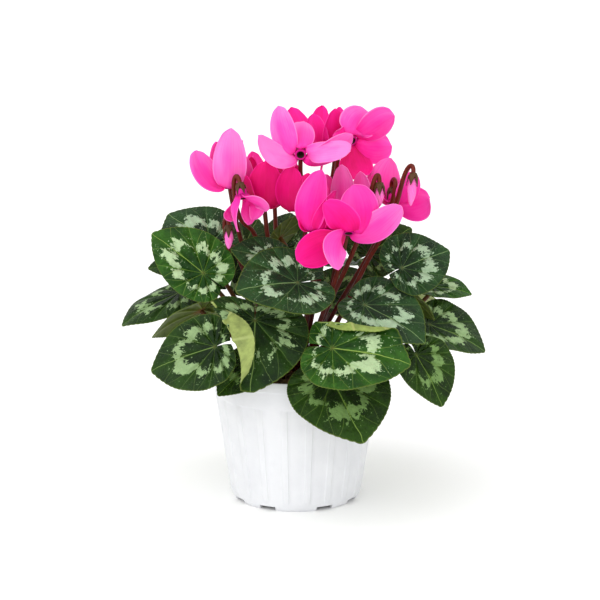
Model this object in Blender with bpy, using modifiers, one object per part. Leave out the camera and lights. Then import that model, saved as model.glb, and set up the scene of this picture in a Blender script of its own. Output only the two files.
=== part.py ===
"""A potted cyclamen: a ribbed nursery pot full of compost, a tuber, leaves on their stalks, flowers and buds.

Metres, +Z up. The origin is on the ground under the pot's axis, and -Y is the front. Every leaf, corolla
and flower stalk is its own object. The stalks stand in plain holes in the crown of the tuber.
"""

import math
from dataclasses import dataclass

import bmesh
import bpy
import numpy as np
from mathutils import Matrix, Vector

MM = 0.001
GAP = 0.3 * MM  # what touching pieces keep between them

# The pot: radii and heights of its turned profile.
POT_HEIGHT = 96 * MM
LIP_RADIUS = 60 * MM
LIP_HEIGHT = 7 * MM
BAND_RADIUS = 58.9 * MM
BAND_FOOT = 77 * MM
WALL_TOP_RADIUS = 57.7 * MM
WALL_FOOT_RADIUS = 47.2 * MM
RIB_FOOT = 7 * MM
FOOT_RADIUS = 45 * MM
FOOT_CHAMFER = 3.5 * MM
WALL = 1.4 * MM
FLOOR_TOP = 7.6 * MM
FLOOR_UNDER = 6.2 * MM
FOOT_INNER_RADIUS = 42.6 * MM

# The pot's ribs stand out of flat panels. Their corners are degrees within one panel's share of the turn.
PANELS = 20
RIB_CORNERS = (0.0, 0.8, 5.2, 6.0)
RIB_RELIEF = 0.6 * MM
PANEL_TURN = 360 / PANELS
FIRST_RIB = 9 - RIB_CORNERS[2] / 2

# Notches in the foot, in degrees from the front or back, on both sides, and the drain holes in the floor.
NOTCH_ANGLES = (26.0, 60.5)
NOTCH_WIDTH = 12.2 * MM
NOTCH_HEIGHT = 3.2 * MM
DRAIN_RADIUS = 4 * MM
DRAIN_CIRCLE = 26 * MM
DRAINS = 4

# The compost and the tuber that sits half buried in it.
SOIL_EDGE = 84 * MM
SOIL_CROWN = 86 * MM
SOIL_CLEARANCE = 0.75 * MM
TUBER_RADIUS = 23 * MM
TUBER_HALF_HEIGHT = 13 * MM
TUBER_CENTRE = 82 * MM

# Stalks, and the rings of holes that they stand in.
STALK_RADIUS = 1.5 * MM
STALK_TIP_SHARE = 0.8
ROOT_DEPTH = 4 * MM
ROOT_RISE = 5 * MM
CROWN_RINGS = ((1.0, 0.1 * MM), (5, 4.6 * MM), (11, 9.3 * MM), (14, 13.8 * MM), (18, 18.2 * MM))
HOLE_PITCH = 4.5 * MM

# The blade's outline: degrees from the tip, and the distance from the stalk as a share of the midrib.
OUTLINE = ((0, 1.0), (11, 0.89), (32, 0.735), (58, 0.61), (86, 0.53), (114, 0.495), (144, 0.46), (176, 0.35))
BLADE_THICKNESS = 0.8 * MM

# The corolla.
TUBE_LENGTH = 8 * MM
TUBE_RADIUS = 3.2 * MM
MOUTH_RADIUS = 4.6 * MM
THROAT_DEPTH = 3 * MM
PETAL_THICKNESS = 0.7 * MM
PETAL_ROOT = 3.5 * MM  # how deep in the tube a petal starts
PETAL_TURN = 5 * MM  # how far ahead of the mouth it swings
PETAL_TWIST = 20  # degrees
PETAL_SHARE = math.radians(64)  # from one root to the next, which leaves a wider gap for the stalk
PETAL_CUP = 0.25
# How far along a petal, and how wide there, both as shares.
PETAL_OUTLINE = ((0, 0.18), (0.18, 0.32), (0.4, 0.78), (0.62, 1), (0.84, 0.82), (1, 0.24))

# The calyx behind each corolla and the hook of the stalk that bends over to it.
CALYX_LENGTH = 4 * MM
CALYX_RADIUS = 3 * MM
HOOK_DROP = 9 * MM
HOOK_RISE = 8 * MM


@dataclass
class Leaf:
    """One leaf. at is where the stalk meets the blade and tip where the blade ends, in millimetres."""

    name: str
    at: tuple
    tip: tuple
    faces: tuple  # of its upper side, degrees from the front towards +X and degrees above the horizon
    width: float = 1.0
    heel: float = 0.75  # how far the two lobes reach back behind the stalk, as a share of most leaves' reach
    skew: float = 0.0  # how much wider the right half is than the left
    fold: float = 12  # degrees that each half rises from the midrib
    droop: float = 22  # degrees that the tip bends down
    lobes: float = 8  # degrees that the two lobes behind the stalk rise
    wave: float = 0.018  # ripple of the margin, as a share of the midrib
    phase: float = 0.0
    rolls: tuple = ()  # further bends, as bend() takes them
    via: tuple = ()  # a point that the stalk passes near, where the straight way is blocked
    rings: int = 2


@dataclass
class Bloom:
    """One open flower. mouth is the centre of its throat in millimetres, faces the way that it looks."""

    name: str
    mouth: tuple
    faces: tuple
    tips: tuple  # where each petal ends: x, y, z, and its degrees of twist and its width where they differ
    width: float = 20
    hook: float = 270  # degrees about the way it looks, at which the stalk comes up between two petals
    reach: float = 7.5
    via: tuple = ()


@dataclass
class Bud:
    """One closed bud that hangs from its hooked stalk. hang is the top of the calyx in millimetres."""

    name: str
    hang: tuple
    faces: tuple = (0, -80)
    length: float = 14
    radius: float = 3.0
    hook: float = 0
    reach: float = 6
    via: tuple = ()


LEAVES = (
    Leaf("leaf_front_low", (24, -65, 101), (44, -101, 66), (12, 36), width=1.22, skew=-0.07, fold=-8,
         droop=16, phase=0.4, rings=3),
    Leaf("leaf_front_right", (24, -77, 125), (76, -87, 116), (2, 50), width=1.24, heel=0.85, phase=1.0,
         rings=3, rolls=((-95, 0.37, 0.16, 160, -0.25),)),
    Leaf("leaf_front_folded", (-28, -56, 140), (-30, -87, 97), (16, 32), width=1.28, phase=2.0, rings=3,
         rolls=((58, 0.40, 0.12, 165, 0.22),)),
    Leaf("leaf_front_centre", (1, -58, 166), (-40, -79, 164), (8, 46), width=1.15, heel=1.3, phase=3.0,
         rings=3),
    Leaf("leaf_front_left_low", (-55, -59, 122), (-99, -55, 104), (4, 46), width=1.16, heel=0.65, skew=-0.1,
         phase=0.8),
    Leaf("leaf_rim_left", (-30, -51, 109), (-53, -68, 90), (-10, 30), width=0.85, phase=1.6),
    Leaf("leaf_left_bright", (-64, -32, 168), (-100, -19, 194), (-26, 36), width=0.92, heel=1.0,
         skew=0.07, fold=8, phase=2.2, rings=3),
    Leaf("leaf_left_back", (-62, 8, 180), (-93, 34, 200), (-3, 50), width=1.2, heel=0.9, phase=0.3),
    Leaf("leaf_left_far", (-84, 12, 146), (-124, -5, 125), (-27, 68), width=0.85, heel=0.65, fold=-16,
         phase=1.2),
    Leaf("leaf_left_under", (-66, -12, 138), (-100, -34, 123), (178, 50), width=0.9, heel=0.65, fold=-10,
         phase=2.8),
    Leaf("leaf_left_inner", (-72, 8, 164), (-105, -2, 166), (-50, 40), width=0.9, phase=0.2),
    Leaf("leaf_centre_upper", (-12, -29, 174), (-45, -35, 185), (-2, 50), width=1.0, phase=1.1),
    Leaf("leaf_right_centre", (47, -39, 147), (88, -53, 123), (30, 52), width=1.14, skew=-0.1, phase=2.4),
    Leaf("leaf_right_upper", (74, -17, 169), (109, 3, 178), (20, 35), width=1.06, phase=0.6),
    Leaf("leaf_right_curled", (77, -6, 149), (97, -23, 133), (160, 40), width=0.75, fold=-30, phase=1.9,
         via=(44, -2, 122)),
    Leaf("leaf_right_far", (98, 20, 149), (127, 15, 144), (28, 64), width=1.0, phase=2.6),
    Leaf("leaf_right_side", (94, -14, 128), (133, -22, 110), (22, 64), width=1.18, heel=0.65, skew=-0.1,
         phase=0.9),
    Leaf("leaf_right_low", (82, -52, 115), (99, -67, 82), (28, 22), width=1.02, heel=0.65, skew=-0.1,
         phase=1.7),
    Leaf("leaf_inner_right", (26, 16, 144), (58, 22, 155), (10, 50), width=1.1, phase=0.9),
    Leaf("leaf_inner_left", (-45, 26, 158), (-28, 45, 195), (-10, 35), width=1.1, heel=0.85, phase=2.0),
    Leaf("leaf_back_olive", (-12, 6, 186), (8, 16, 200), (-150, 40), width=0.9, phase=1.3),
    Leaf("leaf_back_high", (-10, 48, 172), (-4, 70, 196), (0, 40), width=1.0, phase=2.1),
    Leaf("leaf_back_right_high", (52, 22, 172), (84, 32, 190), (10, 48), width=1.15, phase=0.5),
    Leaf("leaf_back_left_side", (-86, 44, 136), (-129, 56, 118), (-110, 56), width=1.0, phase=1.5),
    Leaf("leaf_back_left_top", (-36, 54, 160), (-52, 92, 158), (-165, 60), width=1.05, phase=2.3),
    Leaf("leaf_back_left_low", (-40, 62, 124), (-58, 96, 98), (-160, 35), width=1.05, phase=0.1),
    Leaf("leaf_back_middle", (4, 66, 138), (6, 106, 120), (175, 48), width=1.1, phase=1.8),
    Leaf("leaf_back_right_low", (46, 62, 120), (70, 90, 96), (150, 35), width=1.05, phase=2.9),
    Leaf("leaf_back_right_top", (38, 52, 160), (56, 90, 156), (160, 58), width=1.05, phase=0.7),
    Leaf("leaf_back_right_side", (76, 40, 142), (108, 58, 124), (125, 48), width=1.0, phase=2.7),
)

BLOOMS = (
    Bloom("flower_left", (-46, -26, 225), (0, -80),
          ((-44, -34, 268, 5, 23), (-69, -25, 252, 70, 20), (-55, -13, 257, 0, 16), (-37, -15, 258, 20, 16),
           (-39, -27, 250))),
    Bloom("flower_left_inner", (-22, -24, 211), (0, -80),
          ((-20, -36, 246, 5, 25), (-33, -38, 236), (-13, -23, 242), (-31, -9, 246, 0),
           (-13, -9, 242)), width=17, reach=6),
    Bloom("flower_top", (3, -48, 251), (0, -20),
          ((-12, -32, 283, 0, 19), (5, -14, 271, 0, 18), (38, -38, 264, -10), (36, -62, 256, 75),
           (-25, -56, 265, -50, 16)), via=(21, -34, 221)),
    Bloom("flower_top_back", (21, 12, 249), (0, -85),
          ((12, 2, 275, 0), (19, 30, 279, 40), (27, -1, 279, 0), (31, 30, 278, 20),
           (-3, 28, 278, 60)), width=18, hook=0),
    Bloom("flower_top_right", (39, -12, 257), (20, -25),
          ((51, 2, 276, 20, 26), (68, -8, 275, 0, 25), (46, -20, 233, 0, 24), (26, -14, 262, 0),
           (67, 2, 253, 40, 24)), hook=225),
    Bloom("flower_centre", (1, -31, 210), (0, -80),
          ((-2, -44, 243, 5, 22), (8, -46, 239), (19, -17, 246, 20, 12), (1, -14, 241),
           (-4, -31, 240, 20, 12)), width=15, hook=14, reach=7),
    Bloom("flower_centre_right", (14, -56, 200), (0, -80),
          ((17, -64, 243, 0, 21), (27, -54, 228), (21, -49, 230), (32, -56, 219), (6, -51, 222)), width=15,
          via=(14, -30, 176)),
    Bloom("flower_front", (35, -66, 200), (0, -60),
          ((70, -64, 219, 60, 20), (38, -64, 233, 0, 32), (18, -74, 222, 10, 26), (1, -76, 184, -60, 24),
           (28, -82, 179, -80, 20)), hook=262),
    Bloom("flower_behind_front", (33, -20, 205), (0, -80),
          ((31, -31, 243, 0, 17), (21, -28, 236, -70, 17), (44, -28, 238, 70, 17), (45, -12, 227),
           (21, -12, 231)), width=16),
    Bloom("flower_right", (67, -20, 214), (10, -70),
          ((66, -6, 245, 0, 25), (92, -25, 219, 80, 24), (78, -31, 238), (57, -8, 234, 20, 14),
           (80, -4, 238)), width=17,
          hook=96, reach=11.5),
    Bloom("flower_half_open", (-36, -48, 221), (30, -70),
          ((-20, -54, 214, 40, 15), (-39, -52, 200), (-33, -40, 203), (-43, -42, 206),
           (-30, -44, 207)), width=11,
          via=(-27, -18, 188)),
    Bloom("flower_back", (-16, 46, 214), (180, -80),
          ((-14, 60, 248), (-32, 52, 244), (0, 50, 246), (-2, 37, 244), (-31, 38, 242)), width=19),
)

BUDS = (
    Bud("bud_right", (56, -50, 233), hook=190),
    Bud("bud_far_right", (79, -46, 239), (-20, -75), length=20, hook=200, reach=10, via=(46, -17, 166)),
    Bud("bud_low_left", (-46, -35, 202), hook=250, via=(-42, -17, 180)),
)


def clear_scene():
    """Removes whatever the file holds, so that the model starts from nothing."""
    for obj in list(bpy.data.objects):
        bpy.data.objects.remove(obj)


def finish(name, colour, roughness):
    """A Principled material of that name."""
    material = bpy.data.materials.new(name)
    material.use_nodes = True
    shader = material.node_tree.nodes["Principled BSDF"]
    shader.inputs["Base Color"].default_value = (*colour, 1)
    shader.inputs["Roughness"].default_value = roughness
    return material


def new_object(name, mesh, collection, material=None):
    obj = bpy.data.objects.new(name, mesh)
    collection.objects.link(obj)
    if material:
        mesh.materials.append(material)
    return obj


def evaluated_mesh(obj):
    """The object's mesh with its modifiers applied."""
    bpy.context.view_layer.update()
    return bpy.data.meshes.new_from_object(obj.evaluated_get(bpy.context.evaluated_depsgraph_get()))


def replace_by_mesh(obj):
    """Swaps an object for a plain mesh of what it evaluates to, in the same place, with its caps welded."""
    mesh, matrix, name = evaluated_mesh(obj), obj.matrix_world.copy(), obj.name
    collection = obj.users_collection[0]
    bpy.data.objects.remove(obj)
    shape = bmesh.new()
    shape.from_mesh(mesh)
    bmesh.ops.remove_doubles(shape, verts=shape.verts, dist=0.001 * MM)
    shape.to_mesh(mesh)
    shape.free()
    made = bpy.data.objects.new(name, mesh)
    collection.objects.link(made)
    made.matrix_world = matrix
    return made


def apply_boolean(obj, operation, others, solver="EXACT"):
    """Cuts or joins obj with every object of a temporary collection, and removes that collection."""
    helpers = bpy.data.collections.new("helpers")
    bpy.context.scene.collection.children.link(helpers)
    for other in others:
        for owner in list(other.users_collection):
            owner.objects.unlink(other)
        helpers.objects.link(other)
        other.hide_render = True
        other.display_type = "WIRE"
    boolean = obj.modifiers.new(operation.lower(), "BOOLEAN")
    boolean.operation = operation
    boolean.operand_type = "COLLECTION"
    boolean.collection = helpers
    boolean.solver = solver
    mesh = evaluated_mesh(obj)
    obj.modifiers.clear()
    obj.data = mesh
    for other in list(helpers.objects):
        bpy.data.objects.remove(other)
    bpy.data.collections.remove(helpers)
    return obj


def turned(name, profile, steps, collection, material=None):
    """A solid of revolution about Z from (radius, height) points that start and end on the axis."""
    mesh = bpy.data.meshes.new(name)
    points = [(radius, 0, height) for radius, height in profile]
    mesh.from_pydata(points, [(i, i + 1) for i in range(len(points) - 1)], [])
    obj = new_object(name, mesh, collection, material)
    screw = obj.modifiers.new("turn", "SCREW")
    screw.steps = screw.render_steps = steps
    screw.use_merge_vertices = True
    screw.merge_threshold = 0.01 * MM
    return obj


def compass(azimuth, elevation):
    """The unit vector at compass degrees from the front (-Y) towards +X, and degrees above the horizon."""
    a, e = math.radians(azimuth), math.radians(elevation)
    return Vector((math.sin(a) * math.cos(e), -math.cos(a) * math.cos(e), math.sin(e)))


# ---------------------------------------------------------------- pot


def pot_profile():
    """(radius, height) points of the pot's outside, from the middle of its mouth down to the foot."""
    foot_slope = (WALL_FOOT_RADIUS - FOOT_RADIUS) * 0.8
    return (
        (0, POT_HEIGHT),
        (LIP_RADIUS, POT_HEIGHT),
        (LIP_RADIUS, POT_HEIGHT - LIP_HEIGHT),
        (BAND_RADIUS, POT_HEIGHT - LIP_HEIGHT - 0.6 * MM),
        (BAND_RADIUS - 0.3 * MM, BAND_FOOT),
        (WALL_TOP_RADIUS, BAND_FOOT - 0.8 * MM),
        (WALL_FOOT_RADIUS, RIB_FOOT),
        (FOOT_RADIUS + foot_slope, FOOT_CHAMFER),
        (FOOT_RADIUS, 0),
        (0, 0),
    )


def inside_profile():
    """(radius, height) points of the pot's inside, which ends above the rim as a cutter must."""
    over = 5 * MM
    return (
        (0, POT_HEIGHT + over),
        (LIP_RADIUS - WALL, POT_HEIGHT + over),
        (LIP_RADIUS - WALL, POT_HEIGHT),
        (WALL_TOP_RADIUS - WALL, BAND_FOOT),
        (WALL_FOOT_RADIUS - WALL, FLOOR_TOP),
        (0, FLOOR_TOP),
    )


def raise_ribs(mesh):
    """Gathers the turned wall's corners into narrow ribs between wide flat panels, and lifts the ribs."""
    corners = len(RIB_CORNERS)
    for vertex in mesh.vertices:
        radius = math.hypot(vertex.co.x, vertex.co.y)
        step = round(math.degrees(math.atan2(vertex.co.y, vertex.co.x)) / (PANEL_TURN / corners))
        panel, corner = divmod(step, corners)
        on_rib = corner in (1, 2) and RIB_FOOT - MM < vertex.co.z < BAND_FOOT - 0.5 * MM
        radius += RIB_RELIEF if on_rib else 0
        angle = math.radians(panel * PANEL_TURN + RIB_CORNERS[corner] + FIRST_RIB)
        vertex.co.x, vertex.co.y = radius * math.cos(angle), radius * math.sin(angle)


def box_cutter(name, size, place, turn, collection):
    shape = bmesh.new()
    bmesh.ops.create_cube(shape, size=1, matrix=Matrix.Diagonal((*size, 1)))
    mesh = bpy.data.meshes.new(name)
    shape.to_mesh(mesh)
    shape.free()
    obj = new_object(name, mesh, collection)
    obj.rotation_euler = (0, 0, turn)
    obj.location = place
    return obj


def build_pot(collection, material):
    steps = PANELS * len(RIB_CORNERS)
    pot = replace_by_mesh(turned("pot", pot_profile(), steps, collection))
    pot.data.materials.append(material)
    raise_ribs(pot.data)
    under_floor = ((0, FLOOR_UNDER), (FOOT_INNER_RADIUS, FLOOR_UNDER), (FOOT_INNER_RADIUS, -MM), (0, -MM))
    cutters = [
        replace_by_mesh(turned("inside", inside_profile(), 40, collection)),
        replace_by_mesh(turned("under_floor", under_floor, 24, collection)),
    ]
    angles = [s * a + b for a in NOTCH_ANGLES for s in (1, -1) for b in (0, 180)]
    for i, angle in enumerate(angles):
        place = compass(angle, 0) * FOOT_RADIUS
        size = (NOTCH_WIDTH, 12 * MM, 2 * NOTCH_HEIGHT)
        cutters.append(box_cutter(f"notch_{i}", size, place, math.radians(angle), collection))
    for i in range(DRAINS):
        angle = (i + 0.5) * 2 * math.pi / DRAINS
        shape = bmesh.new()
        bmesh.ops.create_cone(
            shape, cap_ends=True, segments=10, radius1=DRAIN_RADIUS, radius2=DRAIN_RADIUS, depth=10 * MM
        )
        mesh = bpy.data.meshes.new(f"drain_{i}")
        shape.to_mesh(mesh)
        shape.free()
        drain = new_object(f"drain_{i}", mesh, collection)
        drain.location = (DRAIN_CIRCLE * math.cos(angle), DRAIN_CIRCLE * math.sin(angle), FLOOR_TOP)
        cutters.append(drain)
    return apply_boolean(pot, "DIFFERENCE", cutters)


# ---------------------------------------------------------------- compost and tuber


def tuber_mesh(name, extra):
    """The tuber's flattened ball, grown by extra."""
    shape = bmesh.new()
    bmesh.ops.create_uvsphere(shape, u_segments=16, v_segments=8, radius=1)
    scale = (TUBER_RADIUS + extra, TUBER_RADIUS + extra, TUBER_HALF_HEIGHT + extra)
    bmesh.ops.scale(shape, vec=scale, verts=shape.verts)
    bmesh.ops.translate(shape, vec=(0, 0, TUBER_CENTRE), verts=shape.verts)
    mesh = bpy.data.meshes.new(name)
    shape.to_mesh(mesh)
    shape.free()
    return mesh


def build_soil(collection, material):
    """The compost fills the pot to below the lip, and is cut where the tuber sits."""
    heights = (FLOOR_TOP, BAND_FOOT, POT_HEIGHT)
    radii = (WALL_FOOT_RADIUS - WALL, WALL_TOP_RADIUS - WALL, LIP_RADIUS - WALL)
    wall_radius_at = lambda height: np.interp(height, heights, radii)
    profile = (
        (0, SOIL_CROWN),
        (0.6 * LIP_RADIUS, SOIL_CROWN),
        (wall_radius_at(SOIL_EDGE) - SOIL_CLEARANCE, SOIL_EDGE),
        (wall_radius_at(BAND_FOOT) - SOIL_CLEARANCE, BAND_FOOT),
        (wall_radius_at(FLOOR_TOP) - SOIL_CLEARANCE, FLOOR_TOP + GAP),
        (0, FLOOR_TOP + GAP),
    )
    soil = replace_by_mesh(turned("soil", profile, 24, collection))
    soil.data.materials.append(material)
    socket = new_object("socket", tuber_mesh("socket", GAP + 0.1 * MM), collection)
    return apply_boolean(soil, "DIFFERENCE", [socket])


def build_tuber(collection, material, stands):
    """The tuber, with one plain hole for each stalk."""
    tuber = new_object("tuber", tuber_mesh("tuber", 0), collection, material)
    cutters = []
    for i, (place, direction) in enumerate(stands):
        shape = bmesh.new()
        radius, depth = STALK_RADIUS + GAP, ROOT_DEPTH + GAP + ROOT_RISE
        middle = (ROOT_RISE - ROOT_DEPTH - GAP) / 2
        bmesh.ops.create_cone(shape, cap_ends=True, segments=6, radius1=radius, radius2=radius, depth=depth)
        mesh = bpy.data.meshes.new(f"hole_{i}")
        shape.to_mesh(mesh)
        shape.free()
        hole = new_object(f"hole_{i}", mesh, collection)
        hole.rotation_mode = "QUATERNION"
        hole.rotation_quaternion = direction.to_track_quat("Z", "Y")
        hole.location = place + direction * middle
        cutters.append(hole)
    return apply_boolean(tuber, "DIFFERENCE", cutters)


def stands_for(reaches):
    """Where each stalk stands on the crown: (place, direction), in the order of reaches.

    A reach is where a stalk goes. The steepest stand in the middle and the lowest at the edge, each ring
    in the order of their compass directions, so that the stalks fan out without crossing.
    """
    crown = Vector((0, 0, TUBER_CENTRE))
    slope = lambda i: math.hypot(reaches[i].x, reaches[i].y) / max(reaches[i].z - crown.z, 1 * MM)
    order = sorted(range(len(reaches)), key=slope)
    stands = [None] * len(reaches)
    for room, radius in CROWN_RINGS:
        ring, order = order[: int(room)], order[int(room) :]
        ring.sort(key=lambda i: math.atan2(reaches[i].y, reaches[i].x))
        wanted = [math.atan2(reaches[i].y, reaches[i].x) for i in ring]
        angles = spread_angles(wanted, HOLE_PITCH / radius if len(ring) > 1 else 0)
        for i, angle in zip(ring, angles):
            height = crown.z + TUBER_HALF_HEIGHT * math.sqrt(1 - (radius / TUBER_RADIUS) ** 2)
            place = Vector((radius * math.cos(angle), radius * math.sin(angle), height))
            outward = Vector((math.cos(angle), math.sin(angle), 0))
            lean = 0.9 * radius / TUBER_RADIUS
            stands[i] = (place, (Vector((0, 0, 1)) + outward * lean).normalized())
    return stands


def spread_angles(wanted, pitch):
    """Angles round a ring that stay as near as they can to those wanted and at least a pitch apart."""
    angles = list(wanted)
    count = len(angles)
    for _ in range(400):
        for i in range(count):
            j = (i + 1) % count
            turn = 2 * math.pi if j <= i else 0
            short = pitch - (angles[j] + turn - angles[i])
            if count > 1 and short > 0:
                angles[i] -= short / 2
                angles[j] += short / 2
    return angles


# ---------------------------------------------------------------- stalks


def bezier(p0, p1, p2, p3, count):
    """Points along a cubic curve, without its first."""
    found = []
    for i in range(1, count + 1):
        t = i / count
        s = 1 - t
        found.append(p0 * s**3 + p1 * (3 * s * s * t) + p2 * (3 * s * t * t) + p3 * t**3)
    return found


def tube(name, points, radii, collection, sides=1):
    """A tapered tube through the points, with filled ends, as a mesh object."""
    curve = bpy.data.curves.new(name, "CURVE")
    curve.dimensions = "3D"
    curve.bevel_depth = 1
    curve.bevel_resolution = sides
    curve.use_fill_caps = True
    spline = curve.splines.new("POLY")
    spline.points.add(len(points) - 1)
    for point, co, radius in zip(spline.points, points, radii):
        point.co = (*co, 1)
        point.radius = radius
    obj = bpy.data.objects.new(name, curve)
    collection.objects.link(obj)
    return replace_by_mesh(obj)


def rising_points(stand, via, end, arrival, count):
    """The way of a stalk from its hole in the crown to end, where it arrives along a direction."""
    place, direction = stand
    start = place + direction * ROOT_RISE
    points = [place - direction * ROOT_DEPTH, start]
    if via:
        middle = Vector(via) * MM
        reach = (end - start).length
        pull = (end - start) * 0.15
        half = count // 2
        points += bezier(start, start + direction * reach * 0.15, middle - pull, middle, half)
        points += bezier(middle, middle + pull, end - arrival * reach * 0.2, end, count - half)
    else:
        reach = (end - start).length
        points += bezier(start, start + direction * reach * 0.35, end - arrival * reach * 0.3, end, count)
    return points


# ---------------------------------------------------------------- leaves


def outline_at(degrees):
    """The blade's reach at an angle from its tip, as a share of the midrib."""
    angles, reaches = zip(*OUTLINE)
    return np.interp(np.abs(degrees), angles, reaches)


def bend(points, towards, start, span, degrees, bow=0.0):
    """Bends what lies beyond a line across the blade, upwards for positive degrees. It returns new points.

    towards is the way across the line, in degrees right of the tip, and bow curves the line along its length.
    """
    way = np.array((math.sin(math.radians(towards)), math.cos(math.radians(towards)), 0.0))
    turn = math.radians(degrees)
    line = points @ np.array((-way[1], way[0], 0.0))
    along = points @ way - bow * line**2
    share = np.clip((along - start) / span, 0, 1)
    angle, radius = share * turn, span / turn
    beyond = np.maximum(along - start - span, 0)
    up = points[:, 2]
    new_along = start + radius * np.sin(angle) + beyond * np.cos(angle) - up * np.sin(angle)
    new_up = radius * (1 - np.cos(angle)) + beyond * np.sin(angle) + up * np.cos(angle)
    moved = points + np.outer(new_along - along, way)
    moved[:, 2] = new_up
    return np.where((along > start)[:, None], moved, points)


def blade_shape(leaf, degrees, share):
    """The blade's middle surface for a midrib of length 1, at angles from the tip and shares of the reach."""
    angle = np.radians(degrees)
    reach = share * outline_at(degrees)
    ripple = leaf.wave * share**2 * np.sin(3 * angle + leaf.phase)
    across, along = reach * np.sin(angle), reach * np.cos(angle)
    across = across * leaf.width * (1 + leaf.skew * np.sign(across))
    points = np.stack((across, np.where(along < 0, along * leaf.heel, along), ripple), axis=1)
    bends = (
        (90, 0.04, 0.5, leaf.fold),
        (-90, 0.04, 0.5, leaf.fold),
        (180, 0.04, 0.3, leaf.lobes),
        (0, 0.3, 0.7, -leaf.droop),
    )
    for roll in (*bends, *leaf.rolls):
        if roll[3]:
            points = bend(points, *roll)
    return points


def leaf_frame(leaf):
    """(origin, size, rotation) that take the shape of a leaf to its place, its tip on its mark."""
    at, tip = Vector(leaf.at) * MM, Vector(leaf.tip) * MM
    reach = (tip - at).normalized()
    normal = compass(*leaf.faces)
    normal = (normal - reach * normal.dot(reach)).normalized()
    end = Vector(blade_shape(leaf, np.array((0.0,)), np.array((1.0,)))[0])
    level = Matrix.Rotation(-math.atan2(end.z, end.y), 3, "X")
    turn = Matrix((reach.cross(normal), reach, normal)).transposed() @ level
    return at, (tip - at).length / math.hypot(end.y, end.z), turn


def blade_points(leaf, degrees, share):
    """Points of the blade's middle surface at angles from the tip and shares of the way to the margin."""
    at, size, turn = leaf_frame(leaf)
    return blade_shape(leaf, degrees, share) @ np.array(turn).T * size + np.array(at)


def build_blade(leaf, collection, material):
    """The blade starts as a grid whose first row is drawn together at the stalk, as the veins are."""
    half = [angle for angle, _ in OUTLINE]
    spokes = [-a for a in reversed(half[1:])] + half
    shape = bmesh.new()
    bmesh.ops.create_grid(shape, x_segments=len(spokes) - 1, y_segments=leaf.rings, size=0.5)
    shape.verts.ensure_lookup_table()
    across = np.array([v.co.x + 0.5 for v in shape.verts])
    out = np.array([v.co.y + 0.5 for v in shape.verts])
    degrees = np.array(spokes)[np.rint(across * (len(spokes) - 1)).astype(int)]
    for vertex, co in zip(shape.verts, blade_points(leaf, degrees, out**0.85)):
        vertex.co = co
    bmesh.ops.remove_doubles(shape, verts=shape.verts, dist=0.01 * MM)
    bmesh.ops.triangulate(shape, faces=shape.faces)
    mesh = bpy.data.meshes.new(leaf.name)
    shape.to_mesh(mesh)
    shape.free()
    blade = new_object(leaf.name, mesh, collection, material)
    solidify = blade.modifiers.new("thickness", "SOLIDIFY")
    solidify.thickness = BLADE_THICKNESS
    solidify.offset = 0
    return blade


def build_leaf(leaf, stand, collection, material):
    """A blade joined to its stalk."""
    at, _, turn = leaf_frame(leaf)
    normal, midrib = turn.col[2], turn.col[1]
    blade = build_blade(leaf, collection, material)
    blade.data = evaluated_mesh(blade)
    blade.modifiers.clear()
    end = at + midrib * 1.2 * MM + normal * 0.8 * MM
    arrival = (normal * 0.9 + midrib * 0.25).normalized()
    points = rising_points(stand, leaf.via, end, arrival, 4)
    thinning = np.linspace(STALK_RADIUS, STALK_RADIUS * STALK_TIP_SHARE, len(points) - 2)
    radii = [STALK_RADIUS] * 2 + list(thinning)
    stalk = tube(leaf.name + "_stalk", points, radii, collection)
    return apply_boolean(blade, "UNION", [stalk], "MANIFOLD")


# ---------------------------------------------------------------- flowers


def facing(faces):
    """The rotation whose Z is the way that a flower looks, and whose X is level."""
    look = compass(*faces)
    side = Vector((0, 0, 1)).cross(look).normalized()
    return Matrix((side, look.cross(side), look)).transposed()


def bloom_frame(bloom):
    """(mouth, rotation) of a flower: its Z is the way it looks."""
    return Vector(bloom.mouth) * MM, facing(bloom.faces)


def petal_roots(bloom):
    """(root angle, tip, twist, width) of each petal, counted about the flower's look from its stalk on."""
    mouth, turn = bloom_frame(bloom)
    usual = (0, 0, 0, PETAL_TWIST, bloom.width)
    tips = [(*tip, *usual[len(tip) :]) for tip in bloom.tips]
    tips = [(Vector(tip[:3]) * MM, tip[3], tip[4] * MM) for tip in tips]
    hook, whole = math.radians(bloom.hook), 2 * math.pi
    angle_of = lambda tip: math.atan2((tip - mouth).dot(turn.col[1]), (tip - mouth).dot(turn.col[0]))
    tips.sort(key=lambda tip: (angle_of(tip[0]) - hook) % whole)
    first = hook + (whole - PETAL_SHARE * (len(tips) - 1)) / 2
    return [(first + PETAL_SHARE * i, *tip) for i, tip in enumerate(tips)]


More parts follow.
